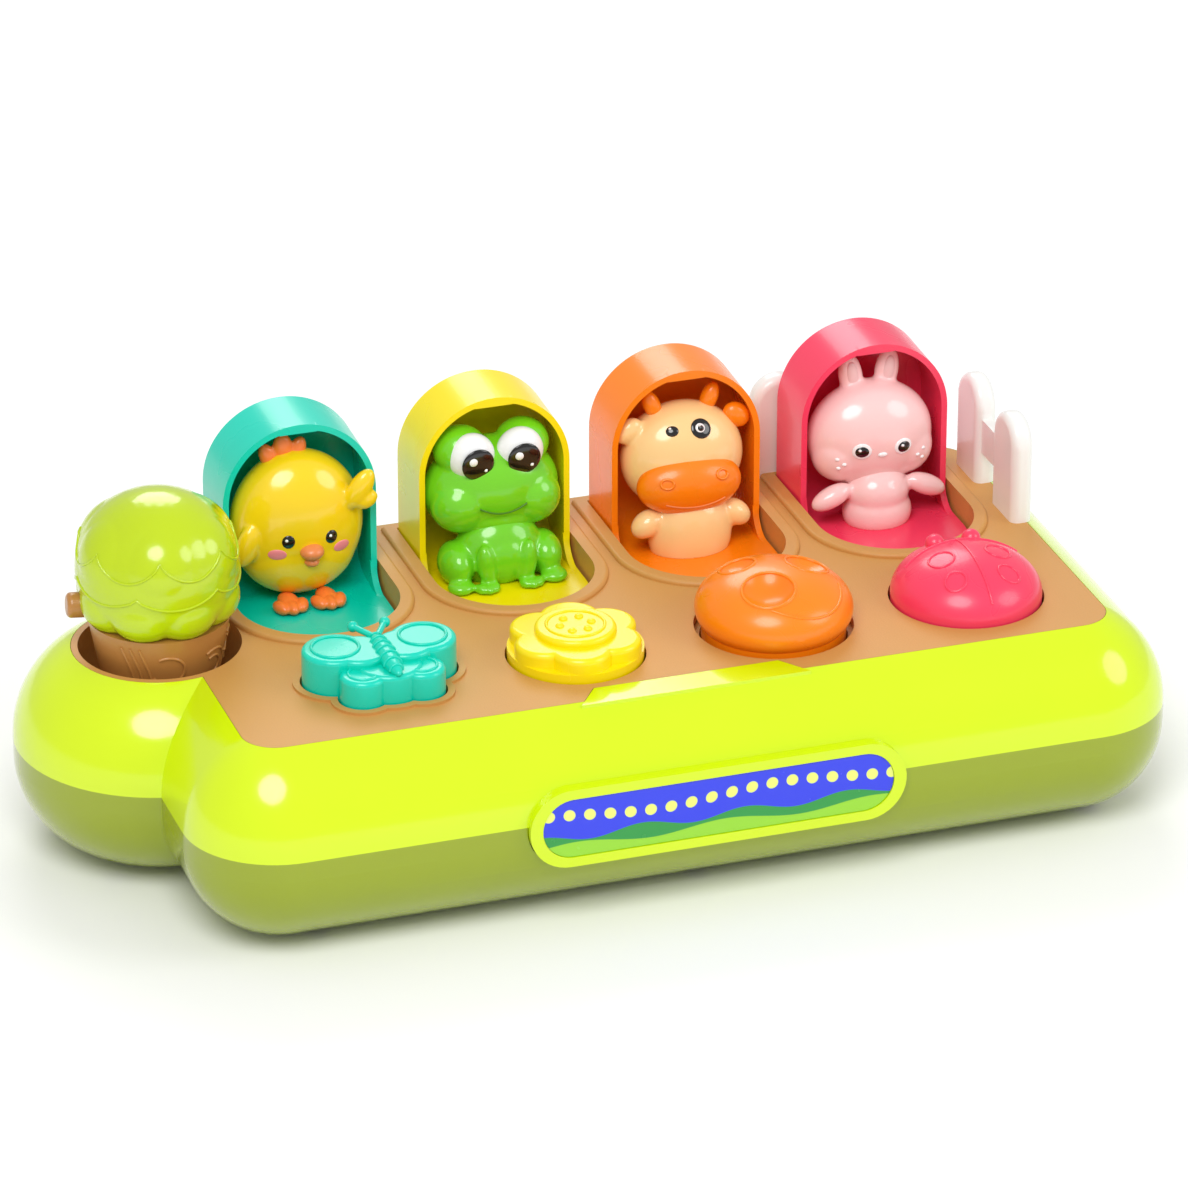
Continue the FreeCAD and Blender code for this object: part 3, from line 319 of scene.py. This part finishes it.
def softBody(name, finish, body, balls, grid=0.55, rounds=8, floor=None):
    # overlapping balls melted into one moulded body with soft fillets
    shape = bmesh.new()
    for ball in balls:
        addBall(shape, *ball)
    made = tidy(shape, name, finish, None)
    melt = made.modifiers.new("melt", "REMESH")
    melt.mode = "VOXEL"
    melt.voxel_size = grid * mm
    soften = made.modifiers.new("soften", "SMOOTH")
    soften.factor = 0.5
    soften.iterations = rounds
    settle(made)
    if floor is not None:
        cut = bmesh.new()
        cut.from_mesh(made.data)
        sliced = bmesh.ops.bisect_plane(cut, geom=cut.verts[:] + cut.edges[:] + cut.faces[:],
                                        plane_co=(0, 0, floor * mm), plane_no=(0, 0, 1), clear_inner=True)
        rim = [item for item in sliced["geom_cut"] if isinstance(item, bmesh.types.BMEdge)]
        bmesh.ops.edgeloop_fill(cut, edges=rim)
        bmesh.ops.recalc_face_normals(cut, faces=cut.faces)
        cut.to_mesh(made.data)
        cut.free()
    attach(made, body)
    return made


def facePoint(centre, radii, across, up):
    # point and outward direction on the front of a ball, from its sideways and upward offsets
    depth = -radii[1] * math.sqrt(max(0.02, 1 - (across / radii[0]) ** 2 - (up / radii[2]) ** 2))
    way = Vector((across / radii[0] ** 2, depth / radii[1] ** 2, up / radii[2] ** 2)).normalized()
    return Vector(centre) + Vector((across, depth, up)), way


def addPatch(shape, centre, radii, across, up, width, height, proud=0.35):
    # thin painted oval lying on the front of a ball
    point, way = facePoint(centre, radii, across, up)
    verts = bmesh.ops.create_icosphere(shape, subdivisions=4, radius=1.0)["verts"]
    bmesh.ops.scale(shape, vec=Vector((width, proud * 2, height)) * mm, verts=verts)
    spin = Vector((0, -1, 0)).rotation_difference(way).to_matrix()
    bmesh.ops.rotate(shape, cent=(0, 0, 0), matrix=spin, verts=verts)
    bmesh.ops.translate(shape, vec=(point - way * proud * 0.6) * mm, verts=verts)


farOff = 60  # how far outside a surface a search for it starts


def skinOf(made):
    # search tree over the finished surface of a piece
    shape = bmesh.new()
    shape.from_mesh(made.data)
    skin = BVHTree.FromBMesh(shape)
    shape.free()
    return skin


def dots(name, finish, body, skin, places, size, proud=0.35):
    # small flat spots on the front of a surface, found by looking along Y
    shape = bmesh.new()
    for x, y, z in places:
        point, way = skin.ray_cast(Vector((x, y - farOff, z)) * mm, Vector((0, 1, 0)))[:2]
        verts = bmesh.ops.create_icosphere(shape, subdivisions=3, radius=1.0)["verts"]
        bmesh.ops.scale(shape, vec=Vector((size, proud * 2, size * 0.8)) * mm, verts=verts)
        spin = Vector((0, -1, 0)).rotation_difference(way).to_matrix()
        bmesh.ops.rotate(shape, cent=(0, 0, 0), matrix=spin, verts=verts)
        bmesh.ops.translate(shape, vec=point - way * proud * 0.6 * mm, verts=verts)
    return tidy(shape, name, finish, body)


def patches(name, finish, body, centre, radii, marks):
    shape = bmesh.new()
    for mark in marks:
        addPatch(shape, centre, radii, *mark)
    return tidy(shape, name, finish, body)


def ridge(name, finish, body, lines, radius):
    # thin raised lines, each through its own list of points
    curve = bpy.data.curves.new(name, "CURVE")
    curve.dimensions = "3D"
    curve.bevel_depth = radius * mm
    curve.bevel_resolution = 3
    curve.use_fill_caps = True
    for points in lines:
        spline = curve.splines.new("POLY")
        spline.points.add(len(points) - 1)
        for knot, point in zip(spline.points, points):
            knot.co = (point[0] * mm, point[1] * mm, point[2] * mm, 1)
    made = bpy.data.objects.new(name, curve)
    bpy.context.scene.collection.objects.link(made)
    graph = bpy.context.evaluated_depsgraph_get()
    mesh = bpy.data.meshes.new_from_object(made.evaluated_get(graph))
    bpy.data.objects.remove(made)
    made = bpy.data.objects.new(name, mesh)
    bpy.context.scene.collection.objects.link(made)
    mesh.materials.clear()
    mesh.materials.append(plastics[finish])
    for face in mesh.polygons:
        face.use_smooth = True
    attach(made, body)
    return made


def stand(animal):
    # where an animal stands: middle of its hood, on the hood's floor, in millimetres
    hood = {"backToMiddle": 15.1, "floor": 2.0}
    low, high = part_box(animal + "_hood")
    return Vector(((low.x + high.x) / 2, high.y - hood["backToMiddle"] * mm, low.z + hood["floor"] * mm)) / mm


def at(spot, *offset):
    return tuple(spot + Vector(offset))


# chick

def makeChick():
    chick = {"head": (19.6, 12.6, 22.2), "middle": 22.2, "eye": 1.9, "cheek": (2.7, 1.7),
             "feet": (-5.4, 5.8), "toeSpread": 3.1, "paintedHighlight": 0.6}
    spot = stand("chick")
    body = "chick_pop_up"
    middle = at(spot, 0, 0, chick["middle"])
    egg = [(middle, chick["head"]), (at(spot, 0, -1, 15), (17.2, 11.4, 14.2)),
           (at(spot, 16.6, -8.5, 33.5), (3.4, 2.6, 6.6), 32),
           (at(spot, 18.4, -8.8, 30.0), (2.6, 2.2, 3.6), 60),
           (at(spot, -16.6, -7.5, 20.0), (3.4, 2.6, 6.6), 18)]
    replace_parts(softBody("chickFigure", "chick", body, egg, floor=spot.z), "chick_body")
    tufts = [(at(spot, -7.6, 1.0, 43.0), (2.5, 1.9, 4.2), -24),
             (at(spot, -3.2, 1.0, 45.0), (2.9, 2.0, 4.6), -4),
             (at(spot, 1.2, 1.0, 44.0), (2.4, 1.9, 4.0), 18)]
    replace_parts(softBody("chickTuft", "comb", body, tufts, 0.4, 5), "chick_comb")
    beak = [(at(spot, 1.0, -12.6, 17.9), (3.5, 3.4, 2.3)),
            (at(spot, 1.0, -11.8, 14.7), (2.3, 2.8, 1.5))]
    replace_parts(softBody("chickBill", "beak", body, beak, 0.3, 3), "chick_beak")
    toes = []
    for foot in chick["feet"]:
        toes.append((at(spot, foot, -9.5, 1.9), (3.0, 5.0, 1.9)))
        for spread in (-1, 0, 1):
            tip = at(spot, foot + spread * chick["toeSpread"], -13.6 + abs(spread) * 0.9, 1.7)
            toes.append((tip, (1.9, 3.4, 1.9), 0, -spread * 18))
    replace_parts(softBody("chickToes", "comb", body, toes, 0.35, 3, floor=spot.z), "chick_feet")
    eyes = [(-5.7, -0.6), (7.1, -0.9)]
    eye, dot = chick["eye"], chick["paintedHighlight"]
    patches("chickEyes", "ink", body, middle, chick["head"], [(x, z, eye, eye * 1.1) for x, z in eyes])
    # white dots on the eyes are painted highlights
    patches("chickPaintedHighlights", "whitePaintAndHighlights", body, middle, chick["head"],
            [(x - 0.5, z + 0.6, dot, dot, 0.6) for x, z in eyes])
    cheeks = [(-8.8, -4.6) + chick["cheek"] + (0.2,), (10.4, -4.8) + chick["cheek"] + (0.2,)]
    patches("chickCheeks", "blush", body, middle, chick["head"], cheeks)


# frog

def makeFrog():
    frog = {"head": (20.2, 12.6, 15.6), "middle": 24.6, "eye": (7.0, 4.8, 7.0), "pupil": 4.9,
            "smileHalf": 7.0, "smileSteps": 24}
    spot = stand("frog")
    body = "frog_pop_up"
    middle = at(spot, 0, 0, frog["middle"])
    head = [(middle, frog["head"]),
            (at(spot, -9.2, -1.0, 37.6), (8.0, 7.4, 7.4)), (at(spot, 9.2, -1.0, 37.6), (8.0, 7.4, 7.4)),
            (at(spot, -10.6, -4.6, 22.4), (8.8, 8.2, 8.4)), (at(spot, 10.6, -4.6, 22.4), (8.8, 8.2, 8.4)),
            (at(spot, 0, -4.4, 17.6), (13.0, 8.0, 7.0))]
    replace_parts(softBody("frogFace", "frog", body, head), "frog_head")
    whites = bmesh.new()
    centres = [at(spot, -7.3, -5.4, 37.2), at(spot, 7.3, -5.4, 37.2)]
    for centre in centres:
        addBall(whites, centre, frog["eye"])
    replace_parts(tidy(whites, "frogEyeballs", "whitePaintAndHighlights", body), "frog_eyes")
    pupils, paintedHighlights = bmesh.new(), bmesh.new()
    for centre, across in zip(centres, (0.7, -0.1)):
        addPatch(pupils, centre, frog["eye"], across, -0.9, frog["pupil"], frog["pupil"], 0.5)
        # two white dots on each pupil are painted highlights
        for dx, dz, size in ((-1.7, 0.5, 1.8), (2.0, -2.6, 0.9)):
            addPatch(paintedHighlights, centre, frog["eye"], across + dx, dz, size, size, 0.9)
    tidy(pupils, "frogPupils", "ink", body)
    tidy(paintedHighlights, "frogPaintedHighlights", "whitePaintAndHighlights", body)
    limbs = [(at(spot, 0, -7.0, 8.0), (13.0, 9.2, 12.0)), (at(spot, 0, -10.5, 7.0), (8.5, 7.0, 8.5))]
    for side in (-1, 1):
        limbs += [(at(spot, side * 13.0, -8.4, 5.6), (5.4, 8.0, 6.6)),
                  (at(spot, side * 6.0, -15.6, 6.6), (2.9, 3.0, 7.0), side * 8),
                  (at(spot, side * 14.0, -16.0, 1.6), (4.0, 4.0, 2.0))]
        for toe in (-1, 0, 1):
            tip = at(spot, side * 6.6 + toe * 2.3, -19.4 + abs(toe) * 0.8, 1.3)
            limbs.append((tip, (1.4, 2.4, 1.5), 0, -toe * 16))
    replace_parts(softBody("frogSeat", "frog", body, limbs, floor=spot.z), "frog_body")
    smile = []
    half, steps = frog["smileHalf"], frog["smileSteps"]
    for step in range(steps + 1):
        across = -half + 2 * half * step / steps
        dip = -1.0 - 2.0 * (1 - (across / half) ** 2)
        smile.append(facePoint(at(spot, 0, -0.9, frog["middle"]), frog["head"], across, dip)[0])
    ridge("frogSmile", "frogLine", body, [smile], 0.28)


# calf

def makeCalf():
    calf = {"head": (18.4, 12.4, 16.5), "middle": 26.0, "muzzle": (15.8, 8.0, 9.4), "nostril": (1.9, 1.4),
            "mouthHalf": 9.0, "mouthSteps": 20}
    spot = stand("calf")
    body = "calf_pop_up"
    middle = at(spot, 0, 0, calf["middle"])
    head = [(middle, calf["head"]), (at(spot, -16.4, -1.0, 36.0), (4.6, 2.8, 3.4), -40)]
    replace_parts(softBody("calfFace", "cream", body, head), "calf_head")
    nose = at(spot, -0.6, -8.6, 20.6)
    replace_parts(softBody("calfMuzzle", "orange", body, [(nose, calf["muzzle"])], 0.5, 3), "calf_muzzle")
    horns = [(at(spot, -8.8, 1.0, 42.4), (2.6, 2.6, 4.8), -22),
             (at(spot, 8.8, 1.0, 42.4), (2.6, 2.6, 4.8), 22),
             (at(spot, 16.4, -1.0, 36.6), (4.4, 2.8, 3.6), 40)]
    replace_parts(softBody("calfHorns", "orange", body, horns, 0.4, 4), "calf_horns")
    coat = [(at(spot, 0, -7.8, 5.0), (12.6, 9.0, 14.0)),
            (at(spot, -13.4, -8.8, 9.5), (5.2, 4.0, 3.8), -35),
            (at(spot, 13.4, -8.8, 9.5), (5.2, 4.0, 3.8), 35)]
    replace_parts(softBody("calfCoat", "cream", body, coat, floor=spot.z), "calf_body")
    marks = (("calfEye", "ink", [(-5.6, 11.4, 1.9, 1.6)]),
             ("calfPatch", "ink", [(3.0, 11.4, 3.1, 3.0)]),
             ("calfRing", "whitePaintAndHighlights", [(2.6, 11.5, 1.9, 1.8, 0.6)]),
             ("calfRingMiddle", "ink", [(2.6, 11.4, 1.3, 1.2, 0.9)]),
             # white dots on the eye and the ring are painted highlights
             ("calfPaintedHighlights", "whitePaintAndHighlights", [(-6.1, 11.9, 0.55, 0.5, 0.6), (2.3, 11.9, 0.5, 0.5, 1.1)]))
    for name, finish, spots in marks:
        patches(name, finish, body, middle, calf["head"], spots)
    rings = []
    for across, up in ((-8.6, 3.4), (8.2, 4.2)):
        centre, way = facePoint(nose, calf["muzzle"], across, up)
        side = Vector((0, 0, 1)).cross(way).normalized()
        high = way.cross(side)
        wide, tall = calf["nostril"]
        turns = [k * math.tau / 20 for k in range(21)]
        rings.append([centre + side * wide * math.cos(turn) + high * tall * math.sin(turn) for turn in turns])
    ridge("calfNostrils", "orange", body, rings, 0.4)
    mouth = []
    half, steps = calf["mouthHalf"], calf["mouthSteps"]
    for step in range(steps + 1):
        across = -half + 2 * half * step / steps
        dip = -3.2 - 1.4 * (1 - (across / half) ** 2)
        mouth.append(facePoint(nose, calf["muzzle"], across, dip)[0])
    ridge("calfMouth", "beak", body, [mouth], 0.25)


# bunny

def makeBunny():
    bunny = {"head": (19.0, 12.4, 16.8), "middle": 24.2, "eye": (2.4, 2.0), "eyeRim": 0.5, "freckle": 0.75}
    spot = stand("bunny")
    body = "bunny_pop_up"
    middle = at(spot, 0, 0, bunny["middle"])
    ears = [(at(spot, -5.2, 2.4, 42.2), (3.7, 2.6, 7.2), -8),
            (at(spot, 6.0, 2.4, 42.6), (3.7, 2.6, 7.2), 8)]
    head = [(middle, bunny["head"]),
            (at(spot, -9.5, -2.0, 20.5), (9.0, 8.5, 9.0)), (at(spot, 9.5, -2.0, 20.5), (9.0, 8.5, 9.0))]
    face = softBody("bunnyFace", "bunny", body, head + ears)
    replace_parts(face, "bunny_head")
    inner = [((ear[0][0], ear[0][1] - 1.7, ear[0][2] + 0.6), (2.0, 1.1, 4.6), ear[2]) for ear in ears]
    softBody("bunnyEarPaint", "bunnyEar", body, inner, 0.3, 2)
    coat = [(at(spot, 0, -7.4, 3.0), (10.4, 9.0, 8.0)), (at(spot, 0, -7.0, 9.0), (9.6, 8.6, 8.0)),
            (at(spot, -14.6, -8.6, 9.4), (6.6, 3.4, 3.2), -24),
            (at(spot, 14.6, -8.6, 9.4), (6.6, 3.4, 3.2), 24)]
    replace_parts(softBody("bunnyCoat", "bunny", body, coat, floor=spot.z), "bunny_body")
    eyes = [(-6.5, -0.2), (6.3, -0.2)]
    width, height = bunny["eye"]
    rim = bunny["eyeRim"]
    marks = (("bunnyEyeRims", "whitePaintAndHighlights", [(x, z, width + rim, height + rim, 0.3) for x, z in eyes]),
             ("bunnyEyes", "ink", [(x, z, width, height, 0.55) for x, z in eyes]),
             # white dots on the eyes are painted highlights
             ("bunnyPaintedHighlights", "whitePaintAndHighlights", [(x - 0.6, z + 0.6, 0.7, 0.6, 0.8) for x, z in eyes]),
             ("bunnyNose", "whitePaintAndHighlights", [(-0.3, -1.7, 1.5, 0.8)]))
    for name, finish, spots in marks:
        patches(name, finish, body, middle, bunny["head"], spots)
    freckles = [at(spot, x, 0, bunny["middle"] + z) for x, z in
                ((-11.4, -4.2), (-13.4, -2.6), (-13.0, -5.4), (11.4, -4.2), (13.4, -2.6), (13.0, -5.4))]
    dots("bunnyFreckles", "whitePaintAndHighlights", body, skinOf(face), freckles, bunny["freckle"])


makeChick()
print("chick done")
makeFrog()
print("frog done")
makeCalf()
print("calf done")
makeBunny()
print("bunny done")


# tree

def makeTree():
    # tiers: leaves, reach, height over the crown's middle and radii
    # scallops: leaves, height and drop in degrees; curlSpots: angle, height and size
    tree = {"middle": 14.5, "curls": 0.45, "leafEdge": 0.4, "edgeSteps": 16,
            "tiers": ((8, 12.8, -7.6, (10.6, 10.6, 9.0)), (6, 8.6, 4.0, (14.7, 14.9, 14.9))),
            "scallops": ((7, 26, 15), (6, 0, 9)), "trunkFoot": 15.5, "trunkTop": 20.0,
            "curlSpots": ((-52, 13, 5.4), (-52, 13, 3.2), (-20, 16, 4.6), (-20, 16, 2.6), (-98, 15, 4.4)),
            "grain": (-118, -126, -134)}
    low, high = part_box("tree_canopy")
    axis = Vector(((low.x + high.x) / 2, (low.y + high.y) / 2, low.z)) / mm
    crown = axis.z + tree["middle"]
    balls = [((axis.x, axis.y, crown), (23.1, 23.1, 21.6)),
             ((axis.x, axis.y, crown - 5.0), (22.5, 22.5, 14.0)),
             ((axis.x, axis.y, crown + 3.0), (22.5, 22.5, 19.3))]
    for count, reach, rise, radii in tree["tiers"]:
        for step in range(count):
            angle = math.tau * (step + 0.3) / count
            middle = (axis.x + reach * math.cos(angle), axis.y + reach * math.sin(angle), crown + rise)
            balls.append((middle, radii, 0, math.degrees(angle)))
    leaves = softBody("treeLeaves", "canopy", "tree", balls, 0.6, 3)
    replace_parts(leaves, "tree_canopy")
    skin = skinOf(leaves)
    hub = Vector((axis.x, axis.y, crown))
    scallops = []
    steps = tree["edgeSteps"]
    for count, level, drop in tree["scallops"]:
        line = []
        for step in range(count * steps + 1):
            around = math.tau * step / (count * steps)
            rise = math.radians(level - drop * math.sin(math.pi * (step % steps) / steps) ** 0.7)
            flat = math.cos(rise)
            way = Vector((flat * math.cos(around), flat * math.sin(around), math.sin(rise)))
            line.append(skin.ray_cast((hub + way * farOff) * mm, -way)[0] / mm)
        scallops.append(line)
    ridge("treeLeafEdges", "canopy", "tree", scallops, tree["leafEdge"])
    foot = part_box("tree_trunk")[0].z / mm
    tall = axis.z - foot

    def bark(angle, height):
        radius = tree["trunkFoot"] + (tree["trunkTop"] - tree["trunkFoot"]) * height / tall
        turn = math.radians(angle)
        return (axis.x + radius * math.cos(turn), axis.y + radius * math.sin(turn), foot + height)

    lines = []
    for angle, height, size in tree["curlSpots"]:
        swings = [math.radians(-150 + 270 * step / 18) for step in range(19)]
        lines.append([bark(angle + size * 3.4 * math.cos(swing), height + size * math.sin(swing))
                      for swing in swings])
    for start in tree["grain"]:
        lines.append([bark(start + 5 * math.sin(step / 4), 3 + step * 1.2) for step in range(17)])
    ridge("barkLines", "trunk", "tree", lines, tree["curls"])


makeTree()
print("tree done")


# raised trim on the four switches

def ringOf(middle, radius, level, steps=32):
    # flat circle of points round a spot on a switch
    turns = [k * math.tau / steps for k in range(steps + 1)]
    return [(middle[0] + radius * math.cos(turn), middle[1] + radius * math.sin(turn), level)
            for turn in turns]


def makeButterfly():
    # wings: across, along, ring radius and height over the crown; body: thickness, half length, along, sunk
    trim = {"line": 0.5, "bodyLine": 0.4, "wings": ((12.6, 3.4, 6.6, 0.1), (8.4, -9.4, 4.2, -2.6)),
            "body": (2.8, 13.0, -3, 1.2), "bandStep": 0.26, "feelers": 2.2, "middleShift": 0.7}
    low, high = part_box("butterfly_button")
    middle = (low + high) / 2 / mm
    middle.y += trim["middleShift"]
    crown = high.z / mm - trim["feelers"]
    wings = []
    for side in (-1, 1):
        for across, along, reach, rise in trim["wings"]:
            wings.append(ringOf((middle.x + side * across, middle.y + along), reach, crown + rise))
    ridge("butterflyWingLines", "teal", "butterfly_button", wings, trim["line"])
    thick, half, along, sunk = trim["body"]
    bands = []
    turns = [k * math.pi / 16 for k in range(17)]
    for step in range(-3, 4):
        share = step * trim["bandStep"]
        radius = thick * math.sqrt(1 - share ** 2) + 0.1
        bands.append([(middle.x + radius * math.cos(turn), middle.y + along + half * share,
                       crown - sunk + radius * math.sin(turn)) for turn in turns])
    ridge("butterflyBodyBands", "teal", "butterfly_button", bands, trim["bodyLine"])


def makeFlower():
    trim = {"line": 0.5, "ring": 8.2, "seed": (1.3, 1.3, 0.9), "seedRing": 4.6, "seeds": 6}
    low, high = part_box("flower_knob")
    middle = (low + high) / 2 / mm
    top = high.z / mm
    ridge("flowerRing", "yellow", "flower_knob", [ringOf(middle, trim["ring"], top, 36)], trim["line"])
    seeds = bmesh.new()
    for place in ringOf(middle, trim["seedRing"], top, trim["seeds"])[:-1]:
        addBall(seeds, place, trim["seed"])
    tidy(seeds, "flowerSeeds", "yellow", "flower_knob")


def makeOrangeDome():
    # raised rims round the three dimples (across, along, radius, depth) and one low sweep along the front
    trim = {"radius": 22.4, "rise": 12.1, "rim": 0.5, "sweep": 0.45, "search": 0.05, "sweepTurn": (-112, 92),
            "dimples": ((-6.0, -11.0, 10.5, 3.6), (12.5, 3.0, 9.5, 2.6), (-9.5, 9.0, 8.0, 2.2))}
    low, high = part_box("orange_button")
    middle = (low + high) / 2 / mm
    widest = high.z / mm - trim["rise"]

    def level(across, along):
        left = max(0.0, 1 - (across ** 2 + along ** 2) / trim["radius"] ** 2)
        return widest + trim["rise"] * math.sqrt(left)

    rims = []
    for dx, dy, radius, depth in trim["dimples"]:
        hub = level(dx, dy) - depth + radius
        rim = []
        for k in range(41):
            turn = k * math.tau / 40
            reach = 0.0
            while reach < radius - 0.3:
                across, along = dx + reach * math.cos(turn), dy + reach * math.sin(turn)
                if level(across, along) < hub - math.sqrt(radius ** 2 - reach ** 2):
                    break
                reach += trim["search"]
            rim.append((middle.x + across, middle.y + along, level(across, along) - 0.15))
        rims.append(rim)
    ridge("orangeDimpleRims", "orange", "orange_button", rims, trim["rim"])
    sweep = []
    start, swing = trim["sweepTurn"]
    for k in range(33):
        turn = math.radians(start + swing * k / 32)
        reach = trim["radius"] * (0.80 + 0.13 * math.sin(math.pi * k / 32))
        across, along = reach * math.cos(turn), reach * math.sin(turn)
        sweep.append((middle.x + across, middle.y + along, level(across, along) - 0.1))
    ridge("orangeSweep", "orange", "orange_button", [sweep], trim["sweep"])


def makeHoleCollar():
    # collar under the panel that closes the gap beside the orange dome's skirt
    collar = {"inner": 20.9, "outer": 23.0, "low": 55.4, "high": 56.7, "steps": 72}
    low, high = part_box("orange_button")
    middle = (low + high) / 2
    shape = bmesh.new()
    corners = [shape.verts.new((middle.x + radius * mm, middle.y, level * mm)) for radius, level in
               ((collar["inner"], collar["low"]), (collar["outer"], collar["low"]),
                (collar["outer"], collar["high"]), (collar["inner"], collar["high"]))]
    profile = shape.faces.new(corners)
    edges = list(profile.edges)
    bmesh.ops.delete(shape, geom=[profile], context="FACES_ONLY")
    bmesh.ops.spin(shape, geom=edges + corners, cent=middle, axis=(0, 0, 1), angle=math.tau,
                   steps=collar["steps"], use_merge=True)
    bmesh.ops.remove_doubles(shape, verts=shape.verts, dist=1e-6)
    bmesh.ops.recalc_face_normals(shape, faces=shape.faces)
    tidy(shape, "orangeHoleCollar", "tan", "base", smooth=False)


def makePinkDome():
    # spots: across, along, ring radius
    trim = {"radius": 21.6, "rise": 13.4, "foot": 61.0, "line": 0.4,
            "spots": ((-8.5, -2.0, 3.6), (8.5, -2.0, 3.6), (-8.0, -12.0, 3.0), (8.0, -12.0, 3.0))}
    low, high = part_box("pink_button")
    middle = (low + high) / 2 / mm

    def onDome(across, along):
        left = max(0.0, 1 - (across ** 2 + along ** 2) / trim["radius"] ** 2)
        return (middle.x + across, middle.y + along, trim["foot"] + trim["rise"] * math.sqrt(left))

    seam = [-20.0 + 28.0 * k / 24 for k in range(25)]
    collar = [-17.0 + 34.0 * k / 30 for k in range(31)]
    lines = [[onDome(0.0, along) for along in seam],
             [onDome(across, 8.0 - 0.012 * across ** 2) for across in collar]]
    for across, along, reach in trim["spots"]:
        lines.append([onDome(*place[:2]) for place in ringOf((across, along), reach, 0.0, 24)])
    ridge("ladybirdLines", "coral", "pink_button", lines, trim["line"])


makeButterfly()
makeFlower()
makeOrangeDome()
makeHoleCollar()
makePinkDome()
print("trim done")


# room, light and camera

def makeStage():
    # lamps: place, size and power
    room = {"floor": paint(250, 250, 250), "half": 6.0, "sky": 0.55, "aim": (0, 0, 0.04),
            "lamps": {"key": ((-0.5, -0.9, 1.3), 0.9, 14.0), "fill": ((1.1, -0.7, 0.8), 0.8, 5.0),
                      "rim": ((0.2, 1.1, 1.0), 0.8, 6.0)}}
    shape = bmesh.new()
    bmesh.ops.create_grid(shape, x_segments=1, y_segments=1, size=room["half"])
    mesh = bpy.data.meshes.new("floor")
    shape.to_mesh(mesh)
    shape.free()
    floor = bpy.data.objects.new("floor", mesh)
    bpy.context.scene.collection.objects.link(floor)
    surface = Finish("pale floor")
    cloud = surface.mix(surface.noise(3, 2), shade(room["floor"], 0.98), room["floor"])
    surface.plug(surface.shader.inputs["Base Color"], cloud)
    surface.shader.inputs["Roughness"].default_value = 0.8
    mesh.materials.append(surface.material)
    world = bpy.data.worlds.new("studio")
    bpy.context.scene.world = world
    world.use_nodes = True
    tree = world.node_tree
    back = tree.nodes["Background"]
    back.inputs["Color"].default_value = (1, 1, 1, 1)
    back.inputs["Strength"].default_value = room["sky"]
    bright = tree.nodes.new("ShaderNodeBackground")
    bright.inputs["Color"].default_value = (1, 1, 1, 1)
    bright.inputs["Strength"].default_value = 1.0
    path = tree.nodes.new("ShaderNodeLightPath")
    blend = tree.nodes.new("ShaderNodeMixShader")
    tree.links.new(path.outputs["Is Camera Ray"], blend.inputs[0])
    tree.links.new(back.outputs[0], blend.inputs[1])
    tree.links.new(bright.outputs[0], blend.inputs[2])
    tree.links.new(blend.outputs[0], tree.nodes["World Output"].inputs[0])
    for name, (place, size, power) in room["lamps"].items():
        light = bpy.data.lights.new(name, "AREA")
        light.shape = "DISK"
        light.size = size
        light.energy = power
        lamp = bpy.data.objects.new(name, light)
        lamp.location = place
        lamp.rotation_euler = (Vector(room["aim"]) - Vector(place)).to_track_quat("-Z", "Y").to_euler()
        bpy.context.scene.collection.objects.link(lamp)


def makeCamera():
    view = {"eye": (-0.5573, -1.6771, 0.9238), "right": (0.94770, -0.31917, 0.0),
            "up": (0.13992, 0.41547, 0.89878), "back": (-0.28686, -0.85177, 0.43840),
            "lens": 210.6, "sensor": 36}
    lens = bpy.data.cameras.new("camera")
    lens.lens = view["lens"]
    lens.sensor_width = view["sensor"]
    camera = bpy.data.objects.new("camera", lens)
    turn = Matrix((view["right"], view["up"], view["back"])).transposed()
    camera.matrix_world = Matrix.Translation(view["eye"]) @ turn.to_4x4()
    bpy.context.scene.collection.objects.link(camera)
    bpy.context.scene.camera = camera


makeStage()
makeCamera()
bpy.context.scene.view_settings.view_transform = "Standard"
print("stage and camera done")
